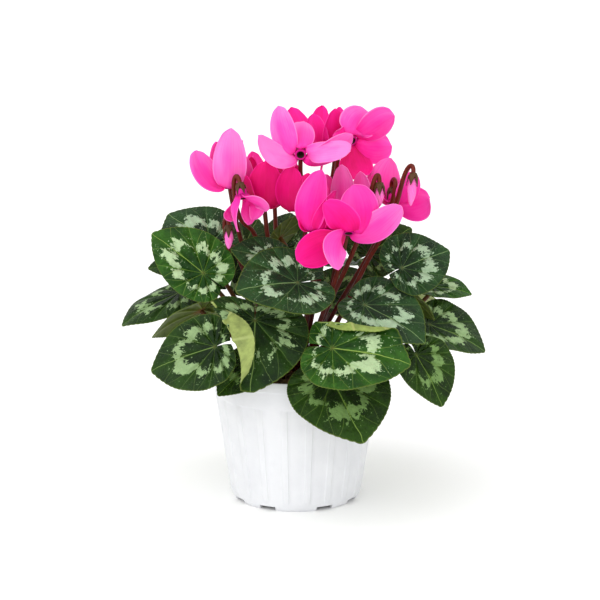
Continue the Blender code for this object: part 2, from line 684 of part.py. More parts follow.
def petal_points(bloom, root, along, across):
    """Points of a petal's middle surface: along is 0 at its root and 1 at its tip, across -1 to 1."""
    mouth, turn = bloom_frame(bloom)
    angle, tip, twist, broad = root
    out = turn.col[0] * math.cos(angle) + turn.col[1] * math.sin(angle)
    look = turn.col[2]
    start = mouth + out * (MOUTH_RADIUS - 0.9 * MM) - look * PETAL_ROOT
    steer = mouth + out * (MOUTH_RADIUS + 1.5 * MM) + look * PETAL_TURN
    lead = mouth + out * (MOUTH_RADIUS + 7 * MM) + (tip - mouth) * 0.3
    p = [np.array(v) for v in (start, steer, lead, tip)]
    t = along[:, None]
    s = 1 - t
    line = p[0] * s**3 + p[1] * 3 * s * s * t + p[2] * 3 * s * t * t + p[3] * t**3
    way = (p[1] - p[0]) * s * s + (p[2] - p[1]) * 2 * s * t + (p[3] - p[2]) * t * t
    way /= np.linalg.norm(way, axis=1)[:, None]
    aim = tip - mouth
    aim = (aim - look * aim.dot(look)).normalized()
    side = np.array(look.cross(out)) * s + np.array(look.cross(aim)) * t
    side = side - way * (way * side).sum(axis=1)[:, None]
    side /= np.linalg.norm(side, axis=1)[:, None]
    face = np.cross(side, way)
    turned_by = np.radians(twist) * np.sin(np.minimum(1.5 * along[:, None], 1) * math.pi / 2)
    across_way = side * np.cos(turned_by) + face * np.sin(turned_by)
    face = face * np.cos(turned_by) - side * np.sin(turned_by)
    width = (np.interp(along, *zip(*PETAL_OUTLINE)) * broad / 2)[:, None]
    x = across[:, None]
    return line + across_way * x * width + face * width * PETAL_CUP * x * x


def build_petal(bloom, index, root, collection):
    rows = [share for share, _ in PETAL_OUTLINE]
    shape = bmesh.new()
    bmesh.ops.create_grid(shape, x_segments=2, y_segments=len(rows) - 1, size=0.5)
    across = np.array([2 * v.co.x for v in shape.verts])
    along = np.array(rows)[np.rint([(v.co.y + 0.5) * (len(rows) - 1) for v in shape.verts]).astype(int)]
    for vertex, co in zip(shape.verts, petal_points(bloom, root, along, across)):
        vertex.co = co
    bmesh.ops.triangulate(shape, faces=shape.faces)
    mesh = bpy.data.meshes.new("petal")
    shape.to_mesh(mesh)
    shape.free()
    petal = new_object(f"{bloom.name}_petal_{index}", mesh, collection)
    solidify = petal.modifiers.new("thickness", "SOLIDIFY")
    solidify.thickness = PETAL_THICKNESS
    solidify.offset = 0
    petal.data = evaluated_mesh(petal)
    petal.modifiers.clear()
    return petal


def build_corolla(bloom, collection, material):
    """Five petals joined to their short tube."""
    mouth, turn = bloom_frame(bloom)
    profile = (
        (0, -THROAT_DEPTH),
        (MOUTH_RADIUS - 1.6 * MM, 0),
        (MOUTH_RADIUS, 0),
        (TUBE_RADIUS + 0.6 * MM, -TUBE_LENGTH + MM),
        (TUBE_RADIUS - 0.4 * MM, -TUBE_LENGTH),
        (0, -TUBE_LENGTH),
    )
    corolla = replace_by_mesh(turned(bloom.name, profile, 8, collection))
    corolla.data.transform(Matrix.Translation(mouth) @ turn.to_4x4())
    corolla.data.materials.append(material)
    petals = [build_petal(bloom, i, root, collection) for i, root in enumerate(petal_roots(bloom))]
    return apply_boolean(corolla, "UNION", petals, "MANIFOLD")


def flower_stalk(name, flower, stand, calyx_end, turn, collection, material):
    """A stalk that rises beside the flower, hooks over and widens into the calyx."""
    look, hook, up = turn.col[2], math.radians(flower.hook), Vector((0, 0, 1))
    side = turn.col[0] * math.cos(hook) + turn.col[1] * math.sin(hook)
    foot = calyx_end + side * flower.reach * MM - up * HOOK_DROP
    arrival = (up + (foot - stand[0]).normalized()).normalized()
    points = rising_points(stand, flower.via, foot, arrival, 5)
    over = foot + arrival * (HOOK_DROP + HOOK_RISE)
    points += bezier(foot, over, calyx_end - look * HOOK_RISE, calyx_end, 4)
    radii = list(np.linspace(STALK_RADIUS, STALK_RADIUS * STALK_TIP_SHARE, len(points)))
    points += [calyx_end + look * CALYX_LENGTH * 0.35, calyx_end + look * (CALYX_LENGTH - GAP)]
    radii += [CALYX_RADIUS * 0.8, CALYX_RADIUS]
    stalk = tube(name, points, radii, collection)
    stalk.data.materials.append(material)
    return stalk


def build_bud(bud, stand, collection, stalk_material):
    """A hooked stalk with its calyx and the furled petals below it, in one body."""
    hang, turn = Vector(bud.hang) * MM, facing(bud.faces)
    stalk = flower_stalk(bud.name, bud, stand, hang, turn, collection, stalk_material)
    radius, length = bud.radius * MM, bud.length * MM
    profile = ((0, length), (radius * 0.5, length * 0.88), (radius, length * 0.5), (radius * 0.7, 0), (0, 0))
    furled = replace_by_mesh(turned(bud.name + "_petals", profile, 8, collection))
    furled.data.transform(Matrix.Translation(hang + turn.col[2] * CALYX_LENGTH * 0.6) @ turn.to_4x4())
    return apply_boolean(stalk, "UNION", [furled], "MANIFOLD")


def main():
    clear_scene()
    plant = bpy.data.collections.new("potted_cyclamen")
    bpy.context.scene.collection.children.link(plant)
    plastic = finish("white_plastic", (0.85, 0.85, 0.86), 0.45)
    compost = finish("compost", (0.05, 0.03, 0.02), 0.95)
    bark = finish("tuber_bark", (0.12, 0.07, 0.04), 0.9)
    green = finish("leaf_green", (0.05, 0.16, 0.06), 0.5)
    pink = finish("petal_pink", (0.9, 0.06, 0.4), 0.5)
    maroon = finish("stalk_maroon", (0.16, 0.05, 0.03), 0.5)

    reaches = [Vector(leaf.at) * MM for leaf in LEAVES]
    reaches += [Vector(bloom.mouth) * MM for bloom in BLOOMS]
    reaches += [Vector(bud.hang) * MM for bud in BUDS]
    stands = stands_for(reaches)

    build_pot(plant, plastic)
    build_soil(plant, compost)
    build_tuber(plant, bark, stands)
    for leaf, stand in zip(LEAVES, stands):
        build_leaf(leaf, stand, plant, green)
    for bloom, stand in zip(BLOOMS, stands[len(LEAVES) :]):
        build_corolla(bloom, plant, pink)
        mouth, turn = bloom_frame(bloom)
        calyx_end = mouth - turn.col[2] * (TUBE_LENGTH + CALYX_LENGTH)
        flower_stalk(bloom.name + "_stalk", bloom, stand, calyx_end, turn, plant, maroon)
    for bud, stand in zip(BUDS, stands[len(LEAVES) + len(BLOOMS) :]):
        build_bud(bud, stand, plant, maroon)


main()
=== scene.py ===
"""Looks of a potted cyclamen: the finished leaves, flowers, buds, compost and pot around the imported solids.

Metres, +Z up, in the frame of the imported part: the origin is on the ground under the pot's axis, and -Y is
the front. Tables of places are in millimetres. Each leaf, corolla, stalk and bud stands for the solid of the
same name.
"""

from __future__ import annotations

import logging
import math
from dataclasses import dataclass
from enum import Enum
from typing import Sequence

import bpy
import numpy as np
from mathutils import Matrix, Vector

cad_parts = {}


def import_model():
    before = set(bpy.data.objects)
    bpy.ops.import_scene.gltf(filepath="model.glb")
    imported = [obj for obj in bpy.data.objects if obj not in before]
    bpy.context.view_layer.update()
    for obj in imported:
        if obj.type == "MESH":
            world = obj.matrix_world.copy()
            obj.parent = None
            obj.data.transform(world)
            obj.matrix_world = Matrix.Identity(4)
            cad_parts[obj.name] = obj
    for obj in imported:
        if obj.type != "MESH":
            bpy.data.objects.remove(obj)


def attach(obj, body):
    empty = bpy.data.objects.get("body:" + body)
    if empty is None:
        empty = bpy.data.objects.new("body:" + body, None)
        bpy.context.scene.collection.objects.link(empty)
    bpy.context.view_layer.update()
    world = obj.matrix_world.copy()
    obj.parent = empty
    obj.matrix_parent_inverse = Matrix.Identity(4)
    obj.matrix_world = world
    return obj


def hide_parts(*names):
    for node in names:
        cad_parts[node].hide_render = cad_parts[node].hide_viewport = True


MM = 0.001
UP = Vector((0, 0, 1))
WHOLE_TURN = 2 * math.pi
LOG = logging.getLogger("potted_cyclamen")

Piece = bpy.types.Object
Material = bpy.types.Material
Tree = bpy.types.NodeTree
Socket = bpy.types.NodeSocket
Shader = bpy.types.Node
Inputs = Sequence[object] | dict[str, object]
LeafSkins = dict["LeafTone", list[Material]]
Place = tuple[float, float, float]  # millimetres
Facing = tuple[float, float]  # compass degrees and degrees above the horizon
Range = tuple[float, float]
Stops = Sequence[tuple[float, str]]  # (position, hex code)
Profile = Sequence[tuple[float, float]]
Path = list[Vector]
Stand = tuple[Vector, Vector]  # where a stalk stands in the crown, and its direction there

# ---------------------------------------------------------------- tools for meshes


def compass(azimuth: float, elevation: float) -> Vector:
    """The unit vector at compass degrees from the front towards +X, and degrees above the horizon."""
    a, e = math.radians(azimuth), math.radians(elevation)
    return Vector((math.sin(a) * math.cos(e), -math.cos(a) * math.cos(e), math.sin(e)))


def smooth_curve(at: np.ndarray, knots: Profile) -> np.ndarray:
    """Reads a smooth curve through knots.

    Args:
        at: where to read it.
        knots: (position, value) pairs in rising order of position.

    Returns:
        The curve's values, which leave each knot in the direction of its neighbours.
    """
    xs, ys = np.array(knots, float).T
    slopes = np.gradient(ys, xs)
    i = np.clip(np.searchsorted(xs, at) - 1, 0, len(xs) - 2)
    width = xs[i + 1] - xs[i]
    t = np.clip((at - xs[i]) / width, 0, 1)
    start, end = ys[i], ys[i + 1]
    rise = (end - start) * (3 - 2 * t) * t * t
    swing = slopes[i] * t * (1 - t) ** 2 - slopes[i + 1] * (1 - t) * t * t
    return start + rise + swing * width


def bezier(p0: Vector, p1: Vector, p2: Vector, p3: Vector, count: int) -> Path:
    """Points along a cubic curve, without its first."""
    shares = [((i + 1) / count, 1 - (i + 1) / count) for i in range(count)]
    return [p0 * s**3 + p1 * (3 * t * s * s) + p2 * (3 * t * t * s) + p3 * t**3 for t, s in shares]


def select(*pieces: Piece) -> None:
    """Selects these pieces alone, and makes the first of them active.

    Args:
        pieces: what to select.
    """
    bpy.ops.object.select_all(action="DESELECT")
    for piece in pieces:
        piece.select_set(True)
    if pieces:
        bpy.context.view_layer.objects.active = pieces[0]


def apply_modifiers(piece: Piece) -> Piece:
    """Applies the piece's modifiers in their order.

    Args:
        piece: a mesh object.

    Returns:
        The piece.
    """
    select(piece)
    for modifier in list(piece.modifiers):
        bpy.ops.object.modifier_apply(modifier=modifier.name)
    return piece


def thicken(sheet: Piece, thickness: float, inner_slot: int = 0) -> Piece:
    """Gives a sheet a thickness, half of it to each side.

    Args:
        sheet: the sheet.
        thickness: in metres.
        inner_slot: how many material slots farther on the sheet's back takes its material.

    Returns:
        The closed piece.
    """
    solidify = sheet.modifiers.new("thickness", "SOLIDIFY")
    solidify.thickness = thickness
    solidify.offset = 0
    solidify.material_offset = inner_slot
    return apply_modifiers(sheet)


def roughen(piece: Piece, grain: float, depth: float, middle: float, group: str = "") -> Piece:
    """Displaces a piece's points by clouds.

    Args:
        piece: the piece.
        grain: the clouds' size in metres.
        depth: how far they move a point.
        middle: the clouds' value that moves nothing.
        group: the vertex group that moves, straight up; without it all points move along their normals.

    Returns:
        The piece.
    """
    clouds = bpy.data.textures.new(piece.name + "_clouds", "CLOUDS")
    clouds.noise_scale, clouds.noise_depth = grain, 4
    displace = piece.modifiers.new("clouds", "DISPLACE")
    displace.texture, displace.strength, displace.mid_level = clouds, depth, middle
    if group:
        displace.vertex_group, displace.direction = group, "Z"
    return apply_modifiers(piece)


def clean(piece: Piece, merge: float = 0.005 * MM, outwards: bool = True) -> Piece:
    """Merges the piece's doubled points and turns its faces outwards.

    Args:
        piece: a mesh object.
        merge: points nearer than this become one.
        outwards: whether the normals are worked out afresh, which suits a closed piece only.

    Returns:
        The piece.
    """
    select(piece)
    bpy.ops.object.mode_set(mode="EDIT")
    bpy.ops.mesh.select_all(action="SELECT")
    bpy.ops.mesh.remove_doubles(threshold=merge)
    if outwards:
        bpy.ops.mesh.normals_make_consistent(inside=False)
    bpy.ops.object.mode_set(mode="OBJECT")
    return piece


def joined(name: str, parts: Sequence[Piece]) -> Piece:
    """Makes one object out of several, with their materials kept.

    Args:
        name: its name.
        parts: the objects, of which the first takes in the others.

    Returns:
        The object.
    """
    select(*parts)
    if len(parts) > 1:
        bpy.ops.object.join()
    piece = bpy.context.view_layer.objects.active
    piece.name = piece.data.name = name
    return piece


def points_of(piece: Piece) -> np.ndarray:
    """Reads a mesh's points.

    Args:
        piece: a mesh object.

    Returns:
        One row for each point.
    """
    found = np.empty(len(piece.data.vertices) * 3)
    piece.data.vertices.foreach_get("co", found)
    return found.reshape(-1, 3)


def place_points(piece: Piece, points: np.ndarray) -> None:
    """Moves the piece's points to the rows given."""
    piece.data.vertices.foreach_set("co", points.ravel())
    piece.data.update()


def write_uv(piece: Piece, name: str, per_point: np.ndarray) -> None:
    """Writes a UV map.

    Args:
        piece: a mesh object.
        name: the map's name.
        per_point: a pair of numbers for each point.
    """
    corners = np.empty(len(piece.data.loops), int)
    piece.data.loops.foreach_get("vertex_index", corners)
    layer = piece.data.uv_layers.get(name) or piece.data.uv_layers.new(name=name)
    layer.uv.foreach_set("vector", per_point[corners].ravel())


def write_value(piece: Piece, name: str, values: float | np.ndarray) -> None:
    """Writes a number for each point, or one number for all, as an attribute."""
    layer = piece.data.attributes.new(name, "FLOAT", "POINT")
    layer.data.foreach_set("value", np.broadcast_to(values, len(piece.data.vertices)).astype(np.float32))


def sheet_grid(name: str, columns: int, rows: int) -> Piece:
    """A flat grid from 0 to 1 across and along, to be shaped by placing its points.

    Args:
        name: the object's name.
        columns: how many points lie across.
        rows: how many lie along.

    Returns:
        The grid.
    """
    select()
    bpy.ops.mesh.primitive_grid_add(x_subdivisions=columns, y_subdivisions=rows, size=1, location=(0, 0, 0))
    sheet = bpy.context.object
    sheet.name = name
    place_points(sheet, points_of(sheet) + np.array((0.5, 0.5, 0)))
    return sheet


def lathe(name: str, profile: Profile, steps: int) -> Piece:
    """A closed turned piece, drawn up from a filled circle by extruding and scaling it.

    Args:
        name: the object's name.
        profile: (radius, height) pairs from the first cap to the last, none on the axis.
        steps: how many sides it has.

    Returns:
        The mesh object, with its axis on Z.
    """
    select()
    radius, height = profile[0]
    bpy.ops.mesh.primitive_circle_add(vertices=steps, radius=radius, fill_type="NGON", location=(0, 0, 0))
    piece = bpy.context.object
    piece.name = name
    bpy.ops.object.mode_set(mode="EDIT")
    bpy.ops.mesh.select_all(action="SELECT")
    bpy.ops.transform.translate(value=(0, 0, height))
    for wide, high in profile[1:]:
        bpy.ops.mesh.extrude_region_move(TRANSFORM_OT_translate={"value": (0, 0, high - height)})
        share = wide / radius
        bpy.ops.transform.resize(value=(share, share, 1), center_override=(0, 0, high))
        radius, height = wide, high
    bpy.ops.mesh.select_all(action="SELECT")
    bpy.ops.mesh.normals_make_consistent(inside=False)
    bpy.ops.object.mode_set(mode="OBJECT")
    return piece


def tube(name: str, path: Path, radii: Sequence[float], sides: int = 3) -> Piece:
    """A tapered round tube with filled ends, swept along a path and made a mesh.

    Args:
        name: the object's name.
        path: the points that its middle passes through.
        radii: its radius at each.
        sides: the curve's bevel resolution.

    Returns:
        The mesh object.
    """
    select()
    bpy.ops.curve.primitive_bezier_curve_add(location=(0, 0, 0))
    piece = bpy.context.object
    piece.name = name
    curve = piece.data
    curve.splines.clear()
    curve.dimensions = "3D"
    curve.bevel_depth = 1
    curve.bevel_resolution = sides
    curve.use_fill_caps = True
    spline = curve.splines.new("POLY")
    spline.points.add(len(path) - 1)
    for point, co, radius in zip(spline.points, path, radii):
        point.co = (*co, 1)
        point.radius = radius
    select(piece)
    bpy.ops.object.convert(target="MESH")
    piece = clean(bpy.context.object)
    bpy.ops.object.shade_smooth_by_angle(angle=math.radians(50))
    return piece


def paint(piece: Piece, *skins: Material) -> Piece:
    """Gives a piece its materials.

    Args:
        piece: a mesh object.
        skins: the only materials that it keeps, in this order.

    Returns:
        The piece.
    """
    piece.data.materials.clear()
    for skin in skins:
        piece.data.materials.append(skin)
    return piece


def settle(piece: Piece, angle: float = 60) -> Piece:
    """Applies a piece's place to its mesh and shades it smooth.

    Args:
        piece: a mesh object.
        angle: degrees between two faces up to which their edge is smooth.

    Returns:
        The piece.
    """
    select(piece)
    bpy.ops.object.transform_apply(location=True, rotation=True, scale=True)
    bpy.ops.object.shade_smooth_by_angle(angle=math.radians(angle))
    return piece


def hand_over(piece: Piece, slot: str, *nodes: str) -> None:
    """Lets a finished piece ride on the part.

    Args:
        piece: a mesh object.
        slot: not used.
        nodes: the solids that it stands for.
    """
    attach(piece, "root")
    if nodes:
        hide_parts(*nodes)
    LOG.info("%s: %d faces, for %s", piece.name, len(piece.data.polygons), ", ".join(nodes) or "no solid")


# ---------------------------------------------------------------- tools for materials


def colour(code: str) -> tuple[float, float, float, float]:
    """The linear colour of an sRGB hex code.

    Args:
        code: such as #A0B1C2.

    Returns:
        Red, green, blue and alpha.
    """
    parts = [int(code[i : i + 2], 16) / 255 for i in (1, 3, 5)]
    linear = [p / 12.92 if p <= 0.04045 else ((p + 0.055) / 1.055) ** 2.4 for p in parts]
    return (*linear, 1.0)


def add(tree: Tree, kind: str, inputs: Inputs = (), stops: Stops = (), **settings: object) -> Socket:
    """Adds a node with its settings and links.

    Args:
        tree: the material's node tree.
        kind: the node's type, without its leading ShaderNode.
        inputs: what goes into its sockets in use, by name or from the first on: another node's socket, a
            plain value, or the hex code of a colour.
        stops: (position, hex code) pairs, for a colour ramp.
        settings: the node's own properties.

    Returns:
        The first output socket in use.
    """
    made = tree.nodes.new("ShaderNode" + kind)
    for key, value in settings.items():
        setattr(made, key, value)
    if stops:
        elements = made.color_ramp.elements
        while len(elements) < len(stops):
            elements.new(0.5)
        for element, (position, code) in zip(elements, stops):
            element.position, element.color = position, colour(code)
    for key, value in inputs.items() if isinstance(inputs, dict) else enumerate(inputs):
        live = [socket for socket in made.inputs if socket.enabled]
        socket = live[key] if isinstance(key, int) else next(s for s in live if s.name == key)
        if isinstance(value, Socket):
            tree.links.new(value, socket)
        elif isinstance(value, str):
            socket.default_value = colour(value)[: len(socket.default_value)]
        else:
            socket.default_value = value
    return next(socket for socket in made.outputs if socket.enabled)


def from_vein(tree: Tree, phase: Socket) -> Socket:
    """How far a place is from the nearest main vein.

    Args:
        tree: the material's node tree.
        phase: the veins' numbers, with fractions between them.

    Returns:
        0 on a vein, 0.5 midway between two.
    """
    nearest = add(tree, "Math", (phase,), operation="ROUND")
    aside = add(tree, "Math", (phase, nearest), operation="SUBTRACT")
    return add(tree, "Math", (aside,), operation="ABSOLUTE")


def blank_material(name: str, **values: object) -> tuple[Material, Tree, Shader]:
    """A new material.

    Args:
        name: its name.
        values: what its Principled shader is set to, by name, with _ for a space.

    Returns:
        The material, its tree and that shader.
    """
    material = bpy.data.materials.new(name)
    material.use_nodes = True
    tree = material.node_tree
    shader = tree.nodes["Principled BSDF"]
    for key, value in values.items():
        shader.inputs[key.replace("_", " ")].default_value = value
    return material, tree, shader


def dress(tree: Tree, shader: Shader, skin: Socket, height: Socket, strength: float, depth: float) -> None:
    """Gives a shader its colour and its bump.

    Args:
        tree: the material's node tree.
        shader: its Principled shader.
        skin: the colour.
        height: the relief, from about 0 to 1.
        strength: how much of the bump shows.
        depth: how deep it goes, in millimetres.
    """
    tree.links.new(skin, shader.inputs["Base Color"])
    bump = add(tree, "Bump", {"Height": height, "Strength": strength, "Distance": depth * MM})
    tree.links.new(bump, shader.inputs["Normal"])


@dataclass(frozen=True)
class BladeSkin:
    """The waxy upper skin of a blade: dark green, with a ragged silver ring broken by the veins."""

    centre: str
    margin: str
    silver: str
    vein: str
    amount: float = 1.0  # how much of the ring shows
    edge: str = "#5E7028"  # the thin rim of the blade
    heart: str = "#4C4A1E"  # where the stalk meets it
    ring_at: float = 0.52  # the ring's middle beside a vein, as a share of the way to the margin
    ring_bulge: float = 0.26  # how much farther out it lies away from the veins
    ring_fall: float = -6.4  # how fast it fails on both sides of its middle
    ring_noise: tuple[float, float, float] = (2.6, 2.6, 3.4)  # weights of patchy, fingers and torn
    fork_from: float = 0.36  # share of the way out where each vein forks
    fork_spread: float = 0.72  # how far the forks part from it, for each share beyond that
    vein_half: Range = (0.0075, 0.0028)  # half of a vein's width at the stalk and at the margin
    vein_share: float = 0.84  # how strongly the veins are coloured

    def silver_ring(self, tree: Tree, share: Socket, aside: Socket, noises: dict[str, Socket]) -> Socket:
        """Where the skin is silver.

        Args:
            tree: the material's node tree.
            share: the share of the way to the margin.
            aside: how far a place is from the nearest main vein.
            noises: patchy, fingers, torn and flecks, as made by material().

        Returns:
            1 in the ring's blotches and in the flecks round them, 0 elsewhere.
        """
        # A band that bulges between the veins, breaks at them, and fails in places by broad noise.
        bulge = add(tree, "Math", (aside, self.ring_bulge, self.ring_at), operation="MULTIPLY_ADD")
        away = add(tree, "Math", (share, bulge), operation="SUBTRACT")
        away = add(tree, "Math", (away,), operation="ABSOLUTE")
        band = add(tree, "Math", (away, self.ring_fall, 0.6 * self.amount), operation="MULTIPLY_ADD")
        gap = add(tree, "MapRange", (aside, 0.0, 0.12, -0.6, 0.0))
        ring = add(tree, "Math", (band, gap), operation="ADD")
        for kind, weight in zip(("patchy", "fingers", "torn"), self.ring_noise):
            offset = add(tree, "Math", (noises[kind], 0.5), operation="SUBTRACT")
            ring = add(tree, "Math", (offset, weight, ring), operation="MULTIPLY_ADD")
        ring = add(tree, "MapRange", (ring, -0.02, 0.1), interpolation_type="SMOOTHSTEP")
        fleck = add(tree, "MapRange", (noises["flecks"], 0.34, 0.26))
        for limit in ((away, 0.42, 0.14), (noises["torn"], 0.50, 0.56)):
            fleck = add(tree, "Math", (fleck, add(tree, "MapRange", limit)), operation="MULTIPLY")
        return add(tree, "Math", (ring, fleck), operation="MAXIMUM")

    def vein_lines(self, tree: Tree, plan: Socket, share: Socket, aside: Socket, phase: Socket) -> Socket:
        """Where the main veins are, which taper outwards and fork.

        Args:
            tree: the material's node tree.
            plan: the place on the flat blade.
            share: the share of the way to the margin.
            aside: how far a place is from the nearest main vein.
            phase: the number of that vein; the midrib, which is 0, is the boldest.

        Returns:
            1 on the midrib, less on the others and on the forks, and 0 between them.
        """
        reach = add(tree, "VectorMath", (plan,), operation="LENGTH").node.outputs["Value"]
        offset = add(tree, "Math", (reach, 0.6), operation="MULTIPLY")
        half = add(tree, "MapRange", (share, 0.0, 1.0, *self.vein_half))
        near = add(tree, "MapRange", (share, 0.04, 0.3, 0.12, 0.4))
        rib = add(tree, "Math", (phase, 0.0, 0.5), operation="COMPARE")
        rib = add(tree, "Math", (rib, 0.85, near), operation="MULTIPLY_ADD")
        spread = add(tree, "Math", (share, self.fork_from), operation="SUBTRACT")
        spread = add(tree, "Math", (spread, 0.0), operation="MAXIMUM")
        spread = add(tree, "Math", (spread, self.fork_spread), operation="MULTIPLY")
        fork = add(tree, "Math", (aside, spread), operation="SUBTRACT")
        fork = add(tree, "Math", (fork,), operation="ABSOLUTE")
        lines = []
        for way, limits in ((aside, (1.6, 0.4)), (fork, (1.3, 0.2, 0.0, 0.4))):
            way = add(tree, "Math", (way, offset), operation="MULTIPLY")
            way = add(tree, "Math", (way, half), operation="DIVIDE")
            lines.append(add(tree, "MapRange", (way, *limits)))
        main = add(tree, "Math", (lines[0], rib), operation="MULTIPLY", use_clamp=True)
        return add(tree, "Math", (main, lines[1]), operation="MAXIMUM")

    def material(self, name: str) -> Material:
        """The skin as a material.

        It reads the maps plan (the flat blade, 1 for its midrib of about 50 mm) and veins (the number of
        the nearest main vein, and the share of the way to the margin), and the attribute seed.

        Args:
            name: the material's name.

        Returns:
            The material.
        """
        material, tree, shader = blank_material(name, Roughness=0.42, Specular_IOR_Level=0.14)
        plan = add(tree, "UVMap", uv_map="plan")
        map_of_veins = add(tree, "UVMap", uv_map="veins")
        phase = add(tree, "SeparateXYZ", (map_of_veins,))
        share = phase.node.outputs["Y"]
        seed = add(tree, "Attribute", attribute_name="seed").node.outputs["Fac"]
        long = add(tree, "Mapping", {"Vector": map_of_veins, "Scale": (4.2, 3.4, 1.0)})
        # Noises that differ from leaf to leaf: place, seed, scale, detail and roughness.
        patterns = {
            "broad": (plan, seed, 4.0, 2.0, 0.5),
            "patchy": (plan, seed, 2.6, 1.0, 0.5),
            "fingers": (long, seed, 2.3, 4.0, 0.62),
            "torn": (plan, seed, 12.0, 7.0, 0.74),
        }
        noises = {kind: add(tree, "TexNoise", at, noise_dimensions="4D") for kind, at in patterns.items()}
        noises["flecks"] = add(tree, "TexVoronoi", (plan, seed, 34.0), voronoi_dimensions="4D")
        offset = add(tree, "Math", (noises["broad"], 0.5), operation="SUBTRACT")
        aside = from_vein(tree, add(tree, "Math", (offset, 0.15, phase), operation="MULTIPLY_ADD"))
        silver = self.silver_ring(tree, share, aside, noises)
        vein = self.vein_lines(tree, plan, share, aside, phase)

        # The green is freshest beside the veins and at the margin, and mottled all over.
        fresh = add(tree, "MapRange", (aside, 0.34, 0.0, 0.0, 0.45))
        for part, weight in ((share, 0.42), (offset, 1.6)):
            fresh = add(tree, "Math", (part, weight, fresh), operation="MULTIPLY_ADD")
        fresh = add(tree, "MapRange", (fresh, 0.12, 0.72))
        green = add(tree, "Mix", (fresh, self.centre, self.margin), data_type="RGBA")
        mottle = add(tree, "MapRange", (noises["torn"], 0.3, 0.7, 0.66, 1.36))
        skin = add(tree, "VectorMath", (green, mottle), operation="MULTIPLY")
        # On it lie the mottled silver, the veins, the rim of the blade and its heart.
        soft = add(tree, "MapRange", (mottle, 0.66, 1.36, 0.76, 1.16))
        pale = add(tree, "VectorMath", (self.silver, soft), operation="MULTIPLY")
        shown = add(tree, "Math", (vein, self.vein_share), operation="MULTIPLY")
        edge = add(tree, "MapRange", (share, 0.98, 0.996, 0.0, 0.7))
        heart = add(tree, "MapRange", (share, 0.06, 0.015, 0.0, 0.6))
        for where, paler in ((silver, pale), (shown, self.vein), (edge, self.edge), (heart, self.heart)):
            skin = add(tree, "Mix", (where, skin, paler), data_type="RGBA")

        # The skin swells between the veins, and cells about 2 mm across pucker the wax.
        swell = add(tree, "MapRange", (aside, 0.0, 0.3), interpolation_type="SMOOTHSTEP")
        spread = add(tree, "MapRange", (share, 0.08, 0.5, 0.15, 1.0))
        relief = add(tree, "Math", (swell, spread), operation="MULTIPLY")
        pucker = add(tree, "TexVoronoi", (plan, 26.0))
        for wrinkle, weight in ((pucker, 0.28), (noises["torn"], 0.8), (noises["broad"], 1.5)):
            relief = add(tree, "Math", (wrinkle, weight, relief), operation="MULTIPLY_ADD")
        dress(tree, shader, skin, relief, 0.95, 1.4)
        return material


@dataclass(frozen=True)
class BladeUnderside:
    """The matt underside of a blade: lime to olive, with the veins standing out paler."""

    flesh: str
    vein: str
    heart: str = "#7A4A26"  # where the stalk meets it

    def material(self, name: str) -> Material:
        """The underside as a material, on the same maps as the upper skin.

        Args:
            name: its name.

        Returns:
            The material.
        """
        material, tree, shader = blank_material(name, Roughness=0.55, Specular_IOR_Level=0.3)
        plan = add(tree, "UVMap", uv_map="plan")
        phase = add(tree, "SeparateXYZ", (add(tree, "UVMap", uv_map="veins"),))
        cloud = add(tree, "TexNoise", (plan, 7.0, 5.0, 0.65))
        line = add(tree, "MapRange", (from_vein(tree, phase), 0.06, 0.02, 0.0, 0.6))
        heart = add(tree, "MapRange", (phase.node.outputs["Y"], 0.25, 0.02))
        shade = add(tree, "MapRange", (cloud, 0.3, 0.7, 0.6, 1.3))
        flesh = add(tree, "VectorMath", (self.flesh, shade), operation="MULTIPLY")
        for where, other in ((line, self.vein), (heart, self.heart)):
            flesh = add(tree, "Mix", (where, flesh, other), data_type="RGBA")
        dress(tree, shader, flesh, cloud, 0.25, 0.3)
        return material


@dataclass(frozen=True)
class StalkSkin:
    """Smooth, sappy skin of a stalk, from one colour at the crown to another at its top."""

    low: str
    high: str
    foot: float  # metres above the ground, where low begins
    top: float
    roughness: float = 0.38

    def material(self, name: str) -> Material:
        """The skin as a material that changes with height and is streaked lengthwise.

        Args:
            name: its name.

        Returns:
            The material.
        """
        material, tree, shader = blank_material(name, Roughness=self.roughness, Specular_IOR_Level=0.2)
        place = add(tree, "TexCoord").node.outputs["Object"]
        height = add(tree, "SeparateXYZ", (place,)).node.outputs["Z"]
        rise = add(tree, "MapRange", (height, self.foot, self.top))
        long = add(tree, "Mapping", {"Vector": place, "Scale": (1.0, 1.0, 0.08)})
        streak = add(tree, "TexNoise", (long, 1400.0, 2.0))
        shade = add(tree, "MapRange", (streak, 0.3, 0.7, 0.7, 1.35))
        skin = add(tree, "Mix", (rise, self.low, self.high), data_type="RGBA")
        skin = add(tree, "VectorMath", (skin, shade), operation="MULTIPLY")
        dress(tree, shader, skin, streak, 0.2, 0.1)
        return material


